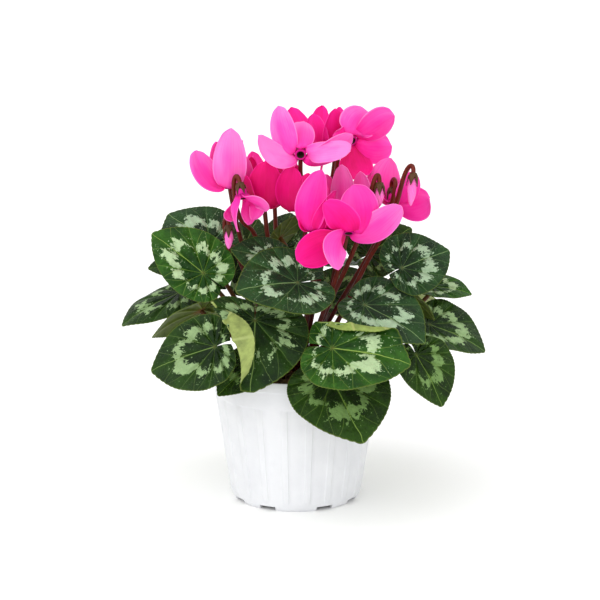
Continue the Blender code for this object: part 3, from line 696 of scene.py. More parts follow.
@dataclass(frozen=True)
class PetalFlesh:
    """Soft, slightly velvety petals: magenta, deeper by each petal's tone and paler at its rim; the tone is
    partly the flower's own pink and partly painted light and shade, paler on lit petals and deeper on shaded
    ones.
    """

    root: str = "#A80A6C"
    ramp: Stops = ((0.0, "#C80054"), (0.25, "#E80A7C"), (0.5, "#FA229C"), (0.75, "#F84AB0"), (1.0, "#FB7CC8"))
    weights: tuple[float, float, float] = (0.36, 0.2, 0.5)  # of the way to the tip, the veins and the clouds
    deeper: float = 0.58  # what these add on the whole, taken off again

    def material(self, name: str) -> Material:
        """The flesh as a material, on the map petal (across, along) and the attribute tone.

        Args:
            name: its name.

        Returns:
            The material.
        """
        material, tree, shader = blank_material(
            name,
            Roughness=0.55,
            Specular_IOR_Level=0.15,
            Subsurface_Weight=0.15,
            Subsurface_Radius=(1.0, 0.25, 0.5),
            Subsurface_Scale=2.5 * MM,
        )
        petal = add(tree, "UVMap", uv_map="petal")
        across = add(tree, "SeparateXYZ", (petal,))
        along = across.node.outputs["Y"]
        tone = add(tree, "Attribute", attribute_name="tone").node.outputs["Fac"]
        # Fine veins run from root to tip, about 0.7 mm apart.
        long = add(tree, "Mapping", {"Vector": petal, "Scale": (30.0, 1.4, 1.0)})
        lines = add(tree, "TexNoise", (long, tone, 1.0, 3.0), noise_dimensions="4D")
        cloud = add(tree, "TexNoise", (petal, tone, 2.2, 2.0), noise_dimensions="4D")
        # Each petal's tone: partly its flower's own pink, partly painted light and shade (paler for lit
        # petals, deeper for shaded ones).
        value = tone
        for part, weight in zip((along, lines, cloud), self.weights):
            value = add(tree, "Math", (part, weight, value), operation="MULTIPLY_ADD")
        off = add(tree, "Math", (across, 0.5), operation="SUBTRACT")
        off = add(tree, "Math", (off,), operation="ABSOLUTE")
        rim = add(tree, "MapRange", (off, 0.45, 0.492, 0.0, 0.26))
        value = add(tree, "Math", (value, rim), operation="ADD")
        value = add(tree, "Math", (value, self.deeper), operation="SUBTRACT")
        skin = add(tree, "ValToRGB", (value,), self.ramp)
        base = add(tree, "MapRange", (along, 0.12, 0.03))
        skin = add(tree, "Mix", (base, skin, self.root), data_type="RGBA")
        dress(tree, shader, skin, lines, 0.15, 0.2)
        return material


@dataclass(frozen=True)
class MouldedPolypropylene:
    """Injection-moulded polypropylene: near white, semi-matt, with a fine orange-peel skin."""

    base: str = "#E4E5E8"
    shade: str = "#D9DADE"
    gloss: Range = (0.36, 0.55)  # the roughness of its cleanest and of its dullest places

    def material(self, name: str) -> Material:
        """The plastic as a material, faintly clouded where handling has dulled it.

        Args:
            name: its name.

        Returns:
            The material.
        """
        material, tree, shader = blank_material(name, IOR=1.49)
        place = add(tree, "TexCoord").node.outputs["Object"]
        cloud = add(tree, "TexNoise", (place, 45.0, 4.0, 0.6))
        peel = add(tree, "TexNoise", (place, 900.0, 2.0))
        dull = add(tree, "MapRange", (cloud, 0.42, 0.9))
        skin = add(tree, "Mix", (dull, self.base, self.shade), data_type="RGBA")
        gloss = add(tree, "MapRange", (cloud, 0.3, 0.7, *self.gloss))
        tree.links.new(gloss, shader.inputs["Roughness"])
        dress(tree, shader, skin, peel, 0.12, 0.06)
        return material


@dataclass(frozen=True)
class EarthyCrumb:
    """Peat, bark or a tuber's cork: dry, dark and crumbly, with lighter fibres."""

    dark: str
    light: str
    grain: float  # mm between one grain and the next
    depth: float = 0.6  # mm of bump

    def material(self, name: str) -> Material:
        """The crumb as a material, on Object coordinates.

        Args:
            name: its name.

        Returns:
            The material.
        """
        material, tree, shader = blank_material(name, Roughness=0.93, Specular_IOR_Level=0.2)
        place = add(tree, "TexCoord").node.outputs["Object"]
        scale = 1 / (self.grain * MM)
        grains = add(tree, "TexNoise", (place, scale, 6.0, 0.7))
        lumps = add(tree, "TexVoronoi", (place, scale * 0.6))
        blend = add(tree, "Math", (grains, lumps), operation="MULTIPLY")
        blend = add(tree, "MapRange", (blend, 0.12, 0.42))
        skin = add(tree, "Mix", (blend, self.dark, self.light), data_type="RGBA")
        dress(tree, shader, skin, grains, 0.9, self.depth)
        return material


@dataclass(frozen=True)
class PlainPaint:
    """A flat, even paint for the studio's floor."""

    base: str
    roughness: float = 0.8

    def material(self, name: str) -> Material:
        """The paint as a material of that name."""
        values = {"Base_Color": colour(self.base), "Roughness": self.roughness, "Specular_IOR_Level": 0.0}
        return blank_material(name, **values)[0]


# ---------------------------------------------------------------- the tuber and the stalks on it


@dataclass(frozen=True)
class Tuber:
    """The flattened corky tuber, and the rings on its crown where the stalks stand."""

    radius: float = 23 * MM
    half_height: float = 13 * MM
    centre: float = 82 * MM
    rings: tuple[tuple[float, float], ...] = (
        (1, 0.1 * MM),
        (5, 4.6 * MM),
        (11, 9.3 * MM),
        (14, 13.8 * MM),
        (18, 18.2 * MM),
    )
    pitch: float = 4.5 * MM  # the least way between two stalks of a ring
    splay: float = 0.9  # how far the outermost stalks lean outwards
    passes: int = 400
    cork_grain: float = 4.5 * MM
    cork_depth: float = 1.8 * MM
    cork_middle: float = 0.62

    def build(self, cork: Material) -> None:
        """Builds the tuber for the solid of the same name.

        Args:
            cork: its material.
        """
        bpy.ops.mesh.primitive_uv_sphere_add(segments=72, ring_count=36, radius=1, location=UP * self.centre)
        piece = bpy.context.object
        piece.name = "tuber_crown"
        piece.scale = (self.radius, self.radius, self.half_height)
        roughen(settle(piece), self.cork_grain, self.cork_depth, self.cork_middle)
        hand_over(settle(paint(piece, cork)), "tuber_bark", "tuber")

    def stands(self, reaches: Sequence[Vector]) -> list[Stand]:
        """Finds where each stalk stands.

        The steepest stalks stand in the middle and the lowest at the edge, each ring in the order of its
        stalks' compass directions, so that they fan out without crossing.

        Args:
            reaches: where each stalk goes.

        Returns:
            Their stands in the order of reaches.
        """
        slants = [math.hypot(reach.x, reach.y) / max(reach.z - self.centre, MM) for reach in reaches]
        order = sorted(range(len(reaches)), key=lambda i: slants[i])
        bearings = [math.atan2(reach.y, reach.x) for reach in reaches]
        found: dict[int, Stand] = {}
        for room, radius in self.rings:
            ring, order = sorted(order[:room], key=lambda i: bearings[i]), order[room:]
            angles = self.spread([bearings[i] for i in ring], self.pitch / radius if len(ring) > 1 else 0)
            for i, angle in zip(ring, angles):
                rise = math.sqrt(1 - (radius / self.radius) ** 2)
                outward = Vector((math.cos(angle), math.sin(angle), 0))
                place = outward * radius + Vector((0, 0, self.centre + self.half_height * rise))
                found[i] = (place, (UP + outward * self.splay * radius / self.radius).normalized())
        return [found[i] for i in range(len(reaches))]

    def spread(self, wanted: Sequence[float], pitch: float) -> list[float]:
        """Parts the stalks of a ring.

        Args:
            wanted: the angle that each would stand at, in rising order.
            pitch: the least angle between two.

        Returns:
            Angles as near as they can be to those wanted.
        """
        angles = list(wanted)
        count = len(angles)
        for _ in range(self.passes):
            for i in range(count):
                j = (i + 1) % count
                turn = WHOLE_TURN if j <= i else 0
                short = pitch - (angles[j] + turn - angles[i])
                if count > 1 and short > 0:
                    angles[i] -= short / 2
                    angles[j] += short / 2
        return angles


@dataclass
class Stalk:
    """A stalk that rises from its stand in the crown."""

    stand: Stand
    radius: float = 1.7 * MM
    tip_share: float = 0.92  # of that radius, at its top
    root_depth: float = 4 * MM
    root_rise: float = 5 * MM
    via_swing: float = 0.15  # how far each way's curve swings, as shares of the whole reach
    end_swing: float = 0.2
    free_swings: Range = (0.35, 0.3)  # the same for a stalk without a via

    def rising(self, via: tuple, end: Vector, arrival: Vector, count: int) -> Path:
        """The way from the crown to end.

        Args:
            via: a place in millimetres that the stalk passes near, or nothing.
            end: where it ends.
            arrival: the direction in which it arrives there.
            count: how many points lie beyond the first two.

        Returns:
            The points of the way.
        """
        place, direction = self.stand
        start = place + direction * self.root_rise
        points = [place - direction * self.root_depth, start]
        reach = (end - start).length
        if not via:
            leaving, arriving = (reach * share for share in self.free_swings)
            return points + bezier(start, start + direction * leaving, end - arrival * arriving, end, count)
        middle, half, leaving = Vector(via) * MM, count // 2, reach * self.via_swing
        swing = (end - start).normalized() * leaving
        points += bezier(start, start + direction * leaving, middle - swing, middle, half)
        points += bezier(middle, middle + swing, end - arrival * reach * self.end_swing, end, count - half)
        return points

    def radii(self, count: int) -> list[float]:
        """Its radius at each of so many points, from the root to the top."""
        return list(np.linspace(self.radius, self.radius * self.tip_share, count))


# ---------------------------------------------------------------- leaves


class LeafTone(Enum):
    """How a blade's upper skin and underside are coloured."""

    BLUE = (BladeSkin("#152A14", "#26461F", "#A2BD9A", "#84A268"), BladeUnderside("#56661E", "#87944A"))
    DEEP = (BladeSkin("#13270D", "#23400E", "#8EAA76", "#7A964E"), BladeUnderside("#93A258", "#AEBB74"))
    FRESH = (BladeSkin("#16390C", "#2D5715", "#ACC696", "#92AE50"), BladeUnderside("#8AA250", "#ABB56D"))
    OLIVE = (
        BladeSkin("#162A08", "#25420A", "#6F8F51", "#7C9A46", amount=0.8),
        BladeUnderside("#4E6016", "#7E8A3C"),
    )


@dataclass
class Leaf:
    """One leaf. at is where the stalk meets the blade and tip where the blade ends, in millimetres."""

    name: str
    at: Place
    tip: Place
    faces: Facing  # the way that its upper side looks
    width: float = 1.0
    heel: float = 0.75  # how far the two lobes reach back behind the stalk
    skew: float = 0.0  # how much wider the right half is than the left
    fold: float = 12  # degrees that each half rises from the midrib
    droop: float = 22  # degrees that the tip bends down
    lobes: float = 8  # degrees that the two lobes behind the stalk rise
    wave: float = 0.018  # ripple of the margin, as a share of the midrib
    phase: float = 0.0
    rolls: tuple[tuple[float, ...], ...] = ()  # further bends, as bend() takes them
    via: tuple = ()
    tone: LeafTone = LeafTone.DEEP
    thickness: float = 0.5 * MM
    teeth: int = 74
    tooth: float = 0.014  # how far each tooth stands out, as a share of the reach
    quilt: float = 0.024  # how far the blade swells between its veins, as a share of the midrib
    vein_trough: float = 0.14  # half of the width of the trough at a vein, 1 from one vein to the next
    columns: int = 222
    rows: int = 17
    smooth: float = 80  # degrees between faces up to which an edge is smooth
    stalk_ahead: float = 1.2 * MM  # how far ahead of where the lobes part the stalk ends
    stalk_arrival: Range = (0.9, 0.25)  # how it meets the blade: along its normal, and along its midrib
    stalk_points: int = 26
    # The distance to the margin as a share of the midrib, at degrees from the tip, and the veins' degrees.
    outline: Profile = (
        *((0, 1.0), (11, 0.89), (32, 0.735), (58, 0.61)),
        *((86, 0.53), (114, 0.495), (144, 0.46), (176, 0.35)),
    )
    vein_angles: tuple[float, ...] = (0, 33, 70, 108, 144, 182)

    def vein_phase(self, degrees: np.ndarray) -> np.ndarray:
        """The number of the nearest main vein, with its fraction, at angles from the tip."""
        return np.sign(degrees) * np.interp(np.abs(degrees), self.vein_angles, range(len(self.vein_angles)))

    @staticmethod
    def bend(
        points: np.ndarray, towards: float, start: float, span: float, degrees: float, bow: float = 0.0
    ) -> np.ndarray:
        """Bends what lies beyond a line across the blade.

        Args:
            points: rows of points.
            towards: the way across the line, in degrees to the right of the tip.
            start: where the line is, along that way.
            span: how far along that way the bend reaches.
            degrees: how far it turns, upwards if positive.
            bow: how far the line curves outwards at its ends, for each square of the way along it.

        Returns:
            New points.
        """
        way = np.array((math.sin(math.radians(towards)), math.cos(math.radians(towards)), 0.0))
        turn = math.radians(degrees)
        line = points @ np.array((-way[1], way[0], 0.0))
        along = points @ way - bow * line**2
        share = np.clip((along - start) / span, 0, 1)
        angle, radius = share * turn, span / turn
        beyond = np.maximum(along - start - span, 0)
        up = points[:, 2]
        new_along = start + radius * np.sin(angle) + beyond * np.cos(angle) - up * np.sin(angle)
        moved = points + np.outer(new_along - along, way)
        moved[:, 2] = radius * (1 - np.cos(angle)) + beyond * np.sin(angle) + up * np.cos(angle)
        return np.where((along > start)[:, None], moved, points)

    def flat(self, degrees: np.ndarray, share: np.ndarray) -> np.ndarray:
        """The blade's plan before it is bent.

        Args:
            degrees: angles from the tip.
            share: shares of the way to the margin.

        Returns:
            (right, ahead) pairs for a midrib of length 1.
        """
        angle = np.radians(degrees)
        tooth = np.abs(np.sin(angle * self.teeth / 2)) ** 0.7 * self.tooth
        reach = share * smooth_curve(np.abs(degrees), self.outline) * (1 + tooth * share**6)
        across, along = reach * np.sin(angle), reach * np.cos(angle)
        across = across * self.width * (1 + self.skew * np.sign(across))
        return np.stack((across, np.where(along < 0, along * self.heel, along)), axis=1)

    def shape(self, degrees: np.ndarray, share: np.ndarray) -> np.ndarray:
        """The blade's middle surface: rippled, quilted between its veins, and bent.

        Args:
            degrees: angles from the tip.
            share: shares of the way to the margin.

        Returns:
            Rows of points for a midrib of length 1.
        """
        ripple = self.wave * share**2 * np.sin(3 * np.radians(degrees) + self.phase)
        ripple = ripple + 0.4 * self.wave * share**5 * np.sin(9 * np.radians(degrees) + 2.3 * self.phase)
        phase = self.vein_phase(degrees)
        trough = np.exp(-(((phase - np.rint(phase)) / self.vein_trough) ** 2))
        quilt = self.quilt * np.sin(math.pi * np.clip(share, 0, 1) ** 1.4) * (1 - trough)
        points = np.column_stack((self.flat(degrees, share), ripple + quilt))
        # The right and the left half, the lobes, the tip and the further bends.
        halves = ((90, 0.04, 0.5, self.fold), (-90, 0.04, 0.5, self.fold))
        ends = ((180, 0.04, 0.3, self.lobes), (0, 0.3, 0.7, -self.droop))
        for roll in (*halves, *ends, *self.rolls):
            if roll[3]:
                points = self.bend(points, *roll)
        return points

    def frame(self) -> tuple[Vector, float, Matrix]:
        """How the blade's shape is taken to its place, with its drooping tip on its mark.

        Returns:
            Its origin, its size and its rotation.
        """
        at, tip = Vector(self.at) * MM, Vector(self.tip) * MM
        reach = (tip - at).normalized()
        normal = compass(*self.faces)
        normal = (normal - reach * normal.dot(reach)).normalized()
        end = Vector(self.shape(np.array((0.0,)), np.array((1.0,)))[0])
        level = Matrix.Rotation(-math.atan2(end.z, end.y), 3, "X")
        turn = Matrix((reach.cross(normal), reach, normal)).transposed() @ level
        return at, (tip - at).length / math.hypot(end.y, end.z), turn

    def blade(self, seed: int, skins: Sequence[Material]) -> Piece:
        """The blade: a grid drawn together at the stalk, with its teeth, given a thickness.

        Args:
            seed: which of its kind it is.
            skins: the materials of its upper side and its underside.

        Returns:
            The blade.
        """
        at, size, turn = self.frame()
        sheet = sheet_grid(self.name + "_blade", self.columns, self.rows)
        grid = points_of(sheet)
        degrees = (grid[:, 0] * 2 - 1) * self.outline[-1][0]
        share = grid[:, 1] ** 0.8
        place_points(sheet, self.shape(degrees, share) @ np.array(turn).T * size + np.array(at))
        write_uv(sheet, "plan", self.flat(degrees, share))
        write_uv(sheet, "veins", np.column_stack((self.vein_phase(degrees), share)))
        write_value(sheet, "seed", 3.7 * seed)
        clean(sheet, 0.02 * MM, outwards=False)
        return settle(thicken(paint(sheet, *skins), self.thickness, inner_slot=1), self.smooth)

    def build(self, seed: int, stand: Stand, skins: LeafSkins, stalk_skin: Material) -> None:
        """Builds the blade and its stalk as one piece.

        Args:
            seed: which of its kind it is, for its own marbling.
            stand: where its stalk stands in the crown.
            skins: the materials for each tone.
            stalk_skin: the stalk's material.
        """
        at, _, turn = self.frame()
        normal, midrib = turn.col[2], turn.col[1]
        blade = self.blade(seed, skins[self.tone])
        end = at + midrib * self.stalk_ahead - normal * self.thickness / 2
        arrival = (normal * self.stalk_arrival[0] + midrib * self.stalk_arrival[1]).normalized()
        stalk = Stalk(stand)
        path = stalk.rising(self.via, end, arrival, self.stalk_points)
        petiole = paint(tube(self.name + "_petiole", path, stalk.radii(len(path))), stalk_skin)
        whole = joined(self.name + "_grown", [blade, petiole])
        hand_over(settle(whole, self.smooth), "leaf_green", self.name)


LEAVES = (
    Leaf("leaf_front_low", (24, -65, 101), (44, -101, 66), (12, 36), width=1.22, skew=-0.07, fold=-8,
         droop=16, phase=0.4, tone=LeafTone.OLIVE),
    Leaf("leaf_front_right", (24, -77, 125), (76, -87, 116), (2, 50), width=1.24, heel=0.85, phase=1.0,
         rolls=((-95, 0.37, 0.16, 160, -0.25),), tone=LeafTone.FRESH),
    Leaf("leaf_front_folded", (-28, -56, 140), (-30, -87, 97), (16, 32), width=1.28, phase=2.0,
         rolls=((58, 0.4, 0.12, 165, 0.22),)),
    Leaf("leaf_front_centre", (1, -58, 166), (-40, -79, 164), (8, 46), width=1.15, heel=1.3, phase=3.0,
         tone=LeafTone.BLUE),
    Leaf("leaf_front_left_low", (-55, -59, 122), (-99, -55, 104), (4, 46), width=1.16, heel=0.65, skew=-0.1,
         phase=0.8),
    Leaf("leaf_rim_left", (-30, -51, 109), (-53, -68, 90), (-10, 30), width=0.85, phase=1.6,
         tone=LeafTone.OLIVE),
    Leaf("leaf_left_bright", (-64, -32, 168), (-100, -19, 194), (-26, 36), width=0.92, heel=1.0, skew=0.07,
         fold=8, phase=2.2, tone=LeafTone.FRESH),
    Leaf("leaf_left_back", (-62, 8, 180), (-93, 34, 200), (-3, 50), width=1.2, heel=0.9, phase=0.3,
         tone=LeafTone.BLUE),
    Leaf("leaf_left_far", (-84, 12, 146), (-124, -5, 125), (-27, 68), width=0.85, heel=0.65, fold=-16,
         phase=1.2),
    Leaf("leaf_left_under", (-66, -12, 138), (-100, -34, 123), (178, 50), width=0.9, heel=0.65, fold=-10,
         phase=2.8, tone=LeafTone.OLIVE),
    Leaf("leaf_left_inner", (-72, 8, 164), (-105, -2, 166), (-50, 40), width=0.9, phase=0.2),
    Leaf("leaf_centre_upper", (-12, -29, 174), (-45, -35, 185), (-2, 50), phase=1.1, tone=LeafTone.BLUE),
    Leaf("leaf_right_centre", (47, -39, 147), (88, -53, 123), (30, 52), width=1.14, skew=-0.1, phase=2.4,
         tone=LeafTone.BLUE),
    Leaf("leaf_right_upper", (74, -17, 169), (109, 3, 178), (20, 35), width=1.06, phase=0.6,
         tone=LeafTone.BLUE),
    Leaf("leaf_right_curled", (77, -6, 149), (97, -23, 133), (160, 40), width=0.75, fold=-30, phase=1.9,
         via=(44, -2, 122), tone=LeafTone.OLIVE),
    Leaf("leaf_right_far", (98, 20, 149), (127, 15, 144), (28, 64), phase=2.6, tone=LeafTone.FRESH),
    Leaf("leaf_right_side", (94, -14, 128), (133, -22, 110), (22, 64), width=1.18, heel=0.65, skew=-0.1,
         phase=0.9),
    Leaf("leaf_right_low", (82, -52, 115), (99, -67, 82), (28, 22), width=1.02, heel=0.65, skew=-0.1,
         phase=1.7, tone=LeafTone.OLIVE),
    Leaf("leaf_inner_right", (26, 16, 144), (58, 22, 155), (10, 50), width=1.1, phase=0.9,
         tone=LeafTone.OLIVE),
    Leaf("leaf_inner_left", (-45, 26, 158), (-28, 45, 195), (-10, 35), width=1.1, heel=0.85, phase=2.0),
    Leaf("leaf_back_olive", (-12, 6, 186), (8, 16, 200), (-150, 40), width=0.9, phase=1.3,
         tone=LeafTone.OLIVE),
    Leaf("leaf_back_high", (-10, 48, 172), (-4, 70, 196), (0, 40), phase=2.1),
    Leaf("leaf_back_right_high", (52, 22, 172), (84, 32, 190), (10, 48), width=1.15, phase=0.5,
         tone=LeafTone.OLIVE),
    Leaf("leaf_back_left_side", (-86, 44, 136), (-129, 56, 118), (-110, 56), phase=1.5),
    Leaf("leaf_back_left_top", (-36, 54, 160), (-52, 92, 158), (-165, 60), width=1.05, phase=2.3,
         tone=LeafTone.BLUE),
    Leaf("leaf_back_left_low", (-40, 62, 124), (-58, 96, 98), (-160, 35), width=1.05, phase=0.1,
         tone=LeafTone.OLIVE),
    Leaf("leaf_back_middle", (4, 66, 138), (6, 106, 120), (175, 48), width=1.1, phase=1.8,
         tone=LeafTone.FRESH),
    Leaf("leaf_back_right_low", (46, 62, 120), (70, 90, 96), (150, 35), width=1.05, phase=2.9),
    Leaf("leaf_back_right_top", (38, 52, 160), (56, 90, 156), (160, 58), width=1.05, phase=0.7,
         tone=LeafTone.BLUE),
    Leaf("leaf_back_right_side", (76, 40, 142), (108, 58, 124), (125, 48), phase=2.7),
)

# ---------------------------------------------------------------- flowers and buds


def facing(faces: Facing) -> Matrix:
    """How a flower stands.

    Args:
        faces: the way that it looks.

    Returns:
        The rotation whose Z is that way, and whose X is level.
    """
    look = compass(*faces)
    side = UP.cross(look).normalized()
    return Matrix((side, look.cross(side), look)).transposed()


@dataclass(frozen=True)
class FlowerSkins:
    """The materials of every flower and bud."""

    flesh: Material
    throat: Material
    stalk: Material
    sepal: Material


@dataclass
class Hanging:
    """What flowers and buds share: a stalk that hooks over and holds the calyx. via is in millimetres."""

    name: str
    faces: Facing = (0, -80)  # the way that it looks
    hook: float = 0  # degrees about that way at which the stalk comes up
    reach: float = 6  # millimetres between the calyx and the rising stalk
    via: tuple = ()
    calyx_length: float = 4 * MM
    calyx_radius: float = 3 * MM
    calyx_swell: Profile = ((0.2, 0.6), (0.4, 0.86), (0.7, 0.98), (0.92, 0.9))  # along, and how wide there
    rise_points: int = 24
    hook_points: int = 16
    hook_drop: float = 9 * MM
    hook_rise: float = 8 * MM
    hook_sides: int = 4
    sepals: int = 5
    sepal_length: float = 9 * MM
    sepal_width: float = 0.72  # in radii of the calyx
    sepal_gap: float = 0.25 * MM
    sepal_cup: float = 0.35
    sepal_thickness: float = 0.35 * MM
    sepal_outline: Profile = ((0, 0.45), (0.25, 1.0), (0.6, 1.14), (1, 1.3))  # out, in radii of the calyx

    def hooked_stalk(self, stand: Stand, calyx_end: Vector, turn: Matrix) -> Piece:
        """A stalk that rises beside the flower and hooks over into the calyx.

        Args:
            stand: where it stands in the crown.
            calyx_end: where the calyx starts.
            turn: the rotation whose Z is the way that the flower looks.

        Returns:
            The stalk.
        """
        stalk = Stalk(stand)
        look, angle = turn.col[2], math.radians(self.hook)
        side = turn.col[0] * math.cos(angle) + turn.col[1] * math.sin(angle)
        foot = calyx_end + side * self.reach * MM - UP * self.hook_drop
        arrival = (UP + (foot - stand[0]).normalized()).normalized()
        path = stalk.rising(self.via, foot, arrival, self.rise_points)
        over = foot + arrival * (self.hook_drop + self.hook_rise)
        path += bezier(foot, over, calyx_end - look * self.hook_rise, calyx_end, self.hook_points)
        radii = stalk.radii(len(path))
        path += [calyx_end + look * self.calyx_length * along for along, _ in self.calyx_swell]
        radii += [self.calyx_radius * wide for _, wide in self.calyx_swell]
        return tube(self.name + "_hook", path, radii, self.hook_sides)

    def calyx(self, calyx_end: Vector, turn: Matrix) -> Piece:
        """Pointed sepals that clasp what comes out of the calyx.

        Args:
            calyx_end: where the calyx starts.
            turn: the rotation whose Z is the way that the flower looks.

        Returns:
            The sepals.
        """
        found = []
        for i in range(self.sepals):
            sheet = sheet_grid(f"{self.name}_sepal_{i}", 6, 12)
            across, along = points_of(sheet)[:, :2].T
            across = across * 2 - 1
            width = self.calyx_radius * self.sepal_width * np.maximum(1 - along**1.7, 0.02)
            out = self.calyx_radius * smooth_curve(along, self.sepal_outline)
            out = out + self.sepal_gap - self.sepal_cup * width * across**2
            flat = np.column_stack((out, width * across, self.sepal_length * along))
            spun = Matrix.Rotation(WHOLE_TURN * (i + 0.25) / self.sepals, 3, "Z")
            place_points(sheet, flat @ np.array(turn @ spun).T + np.array(calyx_end))
            found.append(thicken(clean(sheet, 0.01 * MM, outwards=False), self.sepal_thickness))
        return joined(self.name + "_calyx", found)

    def holder(self, stand: Stand, calyx_end: Vector, turn: Matrix, skins: FlowerSkins) -> list[Piece]:
        """The stalk and the calyx, painted.

        Args:
            stand: where the stalk stands in the crown.
            calyx_end: where the calyx starts.
            turn: the rotation whose Z is the way that the flower looks.
            skins: the materials.

        Returns:
            The two pieces.
        """
        stalk = paint(self.hooked_stalk(stand, calyx_end, turn), skins.stalk)
        return [stalk, paint(self.calyx(calyx_end, turn), skins.sepal)]


@dataclass
class Bloom(Hanging):
    """One open flower. mouth is the centre of its throat in millimetres."""

    mouth: Place = (0, 0, 0)
    tips: tuple[tuple, ...] = ()  # where each petal ends: x, y, z, and its degrees of twist and its width
    # Each petal's tone is partly its flower's own pink and partly painted light and shade: paler for lit
    # petals, deeper for shaded ones.
    tones_with_painted_light: tuple[float, ...] = (0.5,) * 5  # 0 the deepest and 1 the palest, in the order of tips
    width: float = 20  # millimetres
    hook: float = 270
    reach: float = 7.5
    sepal_length: float = 8.5 * MM
    tube_length: float = 8 * MM
    tube_radius: float = 3.2 * MM
    tube_sides: int = 20
    mouth_radius: float = 4.6 * MM
    throat_depth: float = 4 * MM
    throat_lip: float = 2.2 * MM  # how wide the pale rim of the mouth is
    # Tone of the inside of the mouth's hole: the ramp's near-black low end, painted shade.
    hole_shade_tone: float = -0.3
    tube_tone: float = 0.95
    petal_root: float = 3.5 * MM  # how deep in the throat a petal starts
    petal_inset: float = 0.9 * MM  # and how far inside the mouth's radius
    petal_lean: float = 1.5 * MM  # how far outside it the petal turns back
    petal_turn: float = 5 * MM  # and how far in front of the mouth
    petal_lead: float = 7 * MM  # how far out the way to its tip sets off
    petal_aim: float = 0.3  # and which share of that way it has then
    petal_twist: float = 20
    petal_share: float = math.radians(64)
    petal_cup: float = 0.25
    petal_curl: float = 0.16
    petal_flutter: float = 0.7 * MM
    petal_crease: float = 0.5 * MM
    petal_thickness: float = 0.42 * MM
    # How far along a petal, and how wide there, both as shares.
    petal_outline: Profile = (
        *((0, 0.34), (0.12, 0.42), (0.3, 0.66), (0.5, 0.94), (0.65, 1.02)),
        *((0.8, 0.92), (0.91, 0.66), (0.975, 0.34), (1, 0.04)),
    )
    columns: int = 18
    rows: int = 34
    smooth: float = 80  # degrees between faces up to which an edge is smooth

    def frame(self) -> tuple[Vector, Matrix]:
        """(mouth, rotation) of the flower: its Z is the way it looks."""
        return Vector(self.mouth) * MM, facing(self.faces)

    def roots(self) -> list[tuple]:
        """How the petals spring from the throat, counted about its look from the stalk on.

        Returns:
            (root angle, tip, twist, width, tone) of each.
        """
        mouth, turn = self.frame()
        usual = (0, 0, 0, self.petal_twist, self.width)
        tips = [(*tip, *usual[len(tip) :], tone) for tip, tone in zip(self.tips, self.tones_with_painted_light)]
        tips = [(Vector(tip[:3]) * MM, tip[3], tip[4] * MM, tip[5]) for tip in tips]
        offset = [tip[0] - mouth for tip in tips]
        hook = math.radians(self.hook)
        turns = [(math.atan2(o.dot(turn.col[1]), o.dot(turn.col[0])) - hook) % WHOLE_TURN for o in offset]
        order = sorted(range(len(tips)), key=lambda i: turns[i])
        first = hook + (WHOLE_TURN - self.petal_share * (len(tips) - 1)) / 2
        return [(first + self.petal_share * place, *tips[i]) for place, i in enumerate(order)]

    def petal_points(self, root: tuple, along: np.ndarray, across: np.ndarray) -> np.ndarray:
        """Points of a petal's middle surface.

        Args:
            root: one entry of roots().
            along: 0 at the petal's root and 1 at its tip.
            across: -1 to 1.

        Returns:
            Rows of points.
        """
        mouth, turn = self.frame()
        angle, tip, twist, broad, tone = root
        out = turn.col[0] * math.cos(angle) + turn.col[1] * math.sin(angle)
        look = turn.col[2]
        start = mouth + out * (self.mouth_radius - self.petal_inset) - look * self.petal_root
        steer = mouth + out * (self.mouth_radius + self.petal_lean) + look * self.petal_turn
        lead = mouth + out * (self.mouth_radius + self.petal_lead) + (tip - mouth) * self.petal_aim
        p = [np.array(v) for v in (start, steer, lead, tip)]
        t = along[:, None]
        s = 1 - t
        line = p[0] * s**3 + p[1] * 3 * s * s * t + p[2] * 3 * s * t * t + p[3] * t**3
        way = (p[1] - p[0]) * s * s + (p[2] - p[1]) * 2 * s * t + (p[3] - p[2]) * t * t
        way /= np.linalg.norm(way, axis=1)[:, None]
        aim = tip - mouth
        aim = (aim - look * aim.dot(look)).normalized()
        side = np.array(look.cross(out)) * s + np.array(look.cross(aim)) * t
        side = side - way * (way * side).sum(axis=1)[:, None]
        side /= np.linalg.norm(side, axis=1)[:, None]
        face = np.cross(side, way)
        turned = np.radians(twist) * np.sin(np.minimum(1.5 * t, 1) * math.pi / 2)
        cos, sin = np.cos(turned), np.sin(turned)
        side, face = side * cos + face * sin, face * cos - side * sin
        width = (np.maximum(smooth_curve(along, self.petal_outline), 0.02) * broad / 2)[:, None]
        x = across[:, None]
        flutter = self.petal_flutter * np.sin(7 * t + 9 * tone + 1.4 * np.sign(x)) * np.abs(x) ** 3 * t
        crease = self.petal_crease * np.exp(-((x / 0.2) ** 2)) * (1 - 0.6 * t)
        bowl = width * (self.petal_cup * x * x - self.petal_curl * np.abs(x) ** 7 * t)
        return line + side * x * width + face * (bowl + flutter - crease)

    def petal(self, index: int, root: tuple) -> Piece:
        """One petal as a thin closed sheet.

        Args:
            index: its number.
            root: one entry of roots().

        Returns:
            The petal.
        """
        sheet = sheet_grid(f"{self.name}_petal_{index}", self.columns, self.rows)
        grid = points_of(sheet)
        along = 1 - (1 - grid[:, 1]) ** 1.5
        place_points(sheet, self.petal_points(root, along, grid[:, 0] * 2 - 1))
        write_uv(sheet, "petal", np.column_stack((grid[:, 0], along)))
        write_value(sheet, "tone", root[-1])
        return thicken(sheet, self.petal_thickness)

    def throat(self) -> Piece:
        """The tube that the petals spring from, with the hole in its mouth, whose inside is painted
        near-black brown as painted shade.

        Returns:
            The tube.
        """
        mouth, turn = self.frame()
        depth = self.throat_depth
        out = (
            (0.4 * self.tube_radius, -self.tube_length),
            (self.tube_radius - 0.4 * MM, -self.tube_length + 0.2 * MM),
            (self.tube_radius + 0.5 * MM, -self.tube_length + 1.5 * MM),
        )
